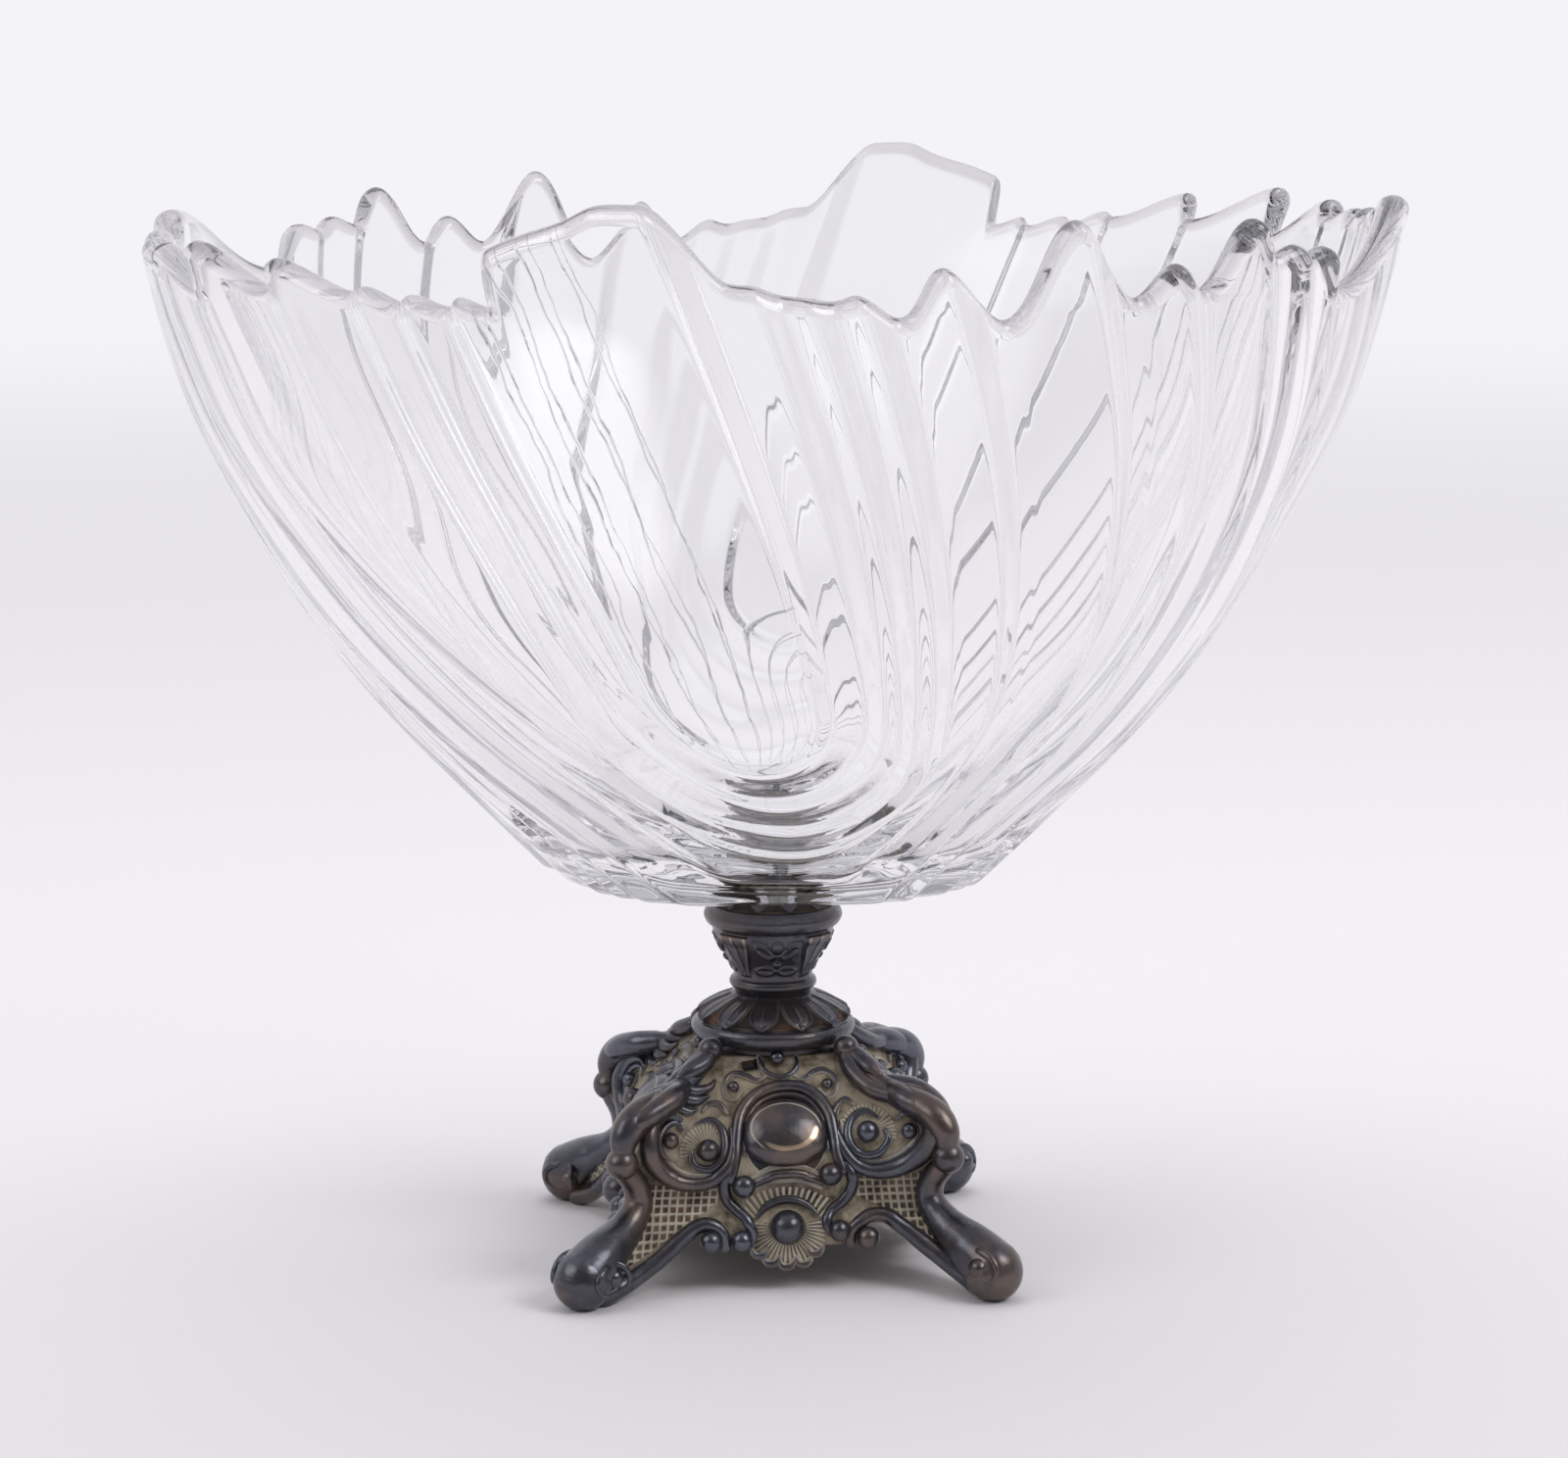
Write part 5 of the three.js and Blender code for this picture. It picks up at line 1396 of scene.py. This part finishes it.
# The lamps: name, size, power, place, and what they are aimed at
LAMPS = [
    ("key_right", (0.9, 0.7), 14, (1.2, -0.9, 1.5), (0, 0, 0.1)),
    ("fill_left", (1.2, 1.0), 7, (-1.6, -0.7, 1.3), (0, 0, 0.1)),
    ("overhead", (1.6, 1.6), 16, (0, 0.3, 2.2), (0, 0, 0)),
]
# What metal shows in their place: direction, degrees to the patch's full part and to its edge, level
WINDOWS = [
    ((1.2, -0.9, 1.5), 9, 19, 5.0),
    ((-1.6, -0.7, 1.3), 10, 22, 2.2),
    ((0.1, 0.25, 2.2), 12, 34, 1.3),
]


def make_lights():
    for name, size, power, place, aim in LAMPS:
        lamp = bpy.data.lights.new(name, "AREA")
        lamp.shape = "RECTANGLE"
        lamp.size, lamp.size_y = size
        lamp.energy = power
        thing = bpy.data.objects.new(name, lamp)
        thing.location = place
        thing.rotation_euler = (Vector(aim) - Vector(place)).to_track_quat("-Z", "Y").to_euler()
        thing.visible_transmission = False
        thing.visible_glossy = False
        bpy.context.scene.collection.objects.link(thing)


def window_glow(tree, looking, color, way, inner, outer, level):
    """Adds a soft bright patch round a direction; inner and outer are degrees from its middle."""
    both_ways = {0: looking, 1: Vector(way).normalized()}
    towards = add_node(tree, "ShaderNodeVectorMath", both_ways, operation="DOT_PRODUCT")
    edge, full = (math.cos(math.radians(degrees)) for degrees in (outer, inner))
    share = between(tree, towards.outputs["Value"], edge, full, way="SMOOTHSTEP")
    return mix_color(tree, share, color, (level, level, level))


def make_world():
    """A pale room: what the glass shows is nearly even, and what the metal shows has more contrast."""
    world = bpy.data.worlds.new("studio")
    bpy.context.scene.world = world
    world.use_nodes = True
    tree = world.node_tree
    looking = add_node(tree, "ShaderNodeTexCoord").outputs["Generated"]
    apart = add_node(tree, "ShaderNodeSeparateXYZ", {"Vector": looking})
    up, along = apart.outputs["Z"], apart.outputs["Y"]
    front = between(tree, along, -0.9, -0.2)
    behind = between(tree, along, 0.0, 0.6)
    aside = between(tree, maths(tree, "ABSOLUTE", apart.outputs["X"]), 0.3, 0.85)
    through_glass = ramp(tree, up, [(0.0, FAR_PAPER), (0.3, FAR_PAPER), (0.7, ROOM_ASIDE)])
    through_glass = mix_color(tree, aside, through_glass, ROOM_ASIDE)
    through_glass = mix_color(tree, front, ROOM_FRONT, through_glass)
    in_metal = mix_color(tree, front, METAL_FRONT, ramp(tree, up, METAL_ROOM))
    in_metal = mix_color(tree, behind, in_metal, FAR_PAPER)
    for way, inner, outer, level in WINDOWS:
        in_metal = window_glow(tree, looking, in_metal, way, inner, outer, level)
    level = mix_color(tree, ray(tree, "Glossy"), mix_color(tree, front, LIGHT_FRONT, LIGHT_AROUND), in_metal)
    level = mix_color(tree, ray(tree, "Transmission"), level, through_glass)
    level = mix_color(tree, ray(tree, "Camera"), level, FAR_PAPER)
    set_inputs(tree, tree.nodes["Background"], {"Color": level, "Strength": 1.0})


def make_camera():
    data = bpy.data.cameras.new("camera")
    data.sensor_width = SENSOR_MM
    data.lens = CAMERA_FOCUS_PX / IMAGE_WIDTH_PX * SENSOR_MM
    data.clip_end = CAMERA_SEES_TO
    camera = bpy.data.objects.new("camera", data)
    camera.location = CAMERA_AT
    camera.rotation_euler = (math.radians(CAMERA_TILT), 0, math.radians(CAMERA_TURN))
    bpy.context.scene.collection.objects.link(camera)
    bpy.context.scene.camera = camera


def let_light_into_thick_glass():
    """Light is sent back and forth many times inside the cut glass before it leaves."""
    paths = bpy.context.scene.cycles
    paths.max_bounces = GLASS_BOUNCES
    paths.transmission_bounces = GLASS_BOUNCES
    paths.glossy_bounces = METAL_BOUNCES
    paths.transparent_max_bounces = SHADOW_BOUNCES


# Making it all
materials = {
    "steel": plain_metal("steel_dull", (0.42, 0.40, 0.38), 0.35, 3.0),
    "dark_cap": cap_metal(),
    "clear_sleeve": soft_material("sleeve_milky", (0.86, 0.89, 0.86), 0.3, 0.25, 1.0),
    "washer": soft_material("washer_soft", (0.62, 0.60, 0.55), 0.6, seed=4.0),
    "silver_plate": plain_metal("plate_hidden", (0.10, 0.095, 0.10), 0.35, 7.0),
}
make_camera()
bowl, bowl_fold, bowl_lip = make_bowl()
add_piece("glass_bowl_pressed", bowl, glass_material(), "glass", "glass_bowl", fold=bowl_fold, lip=bowl_lip)
stem_silver = silver_material("silver_stem", 0.1, 0.3, 3.0)
collar, collar_relief = make_collar()
add_piece("leaf_collar_cast", collar, stem_silver, "silver_plate", "leaf_collar", relief=collar_relief)
cup, cup_relief = make_cup()
add_piece("stem_cup_cast", cup, stem_silver, "silver_plate", "stem_cup", relief=cup_relief)
make_foot()
make_hardware(materials)
make_floor()
make_lights()
make_world()
bpy.context.scene.view_settings.view_transform = "Standard"
let_light_into_thick_glass()
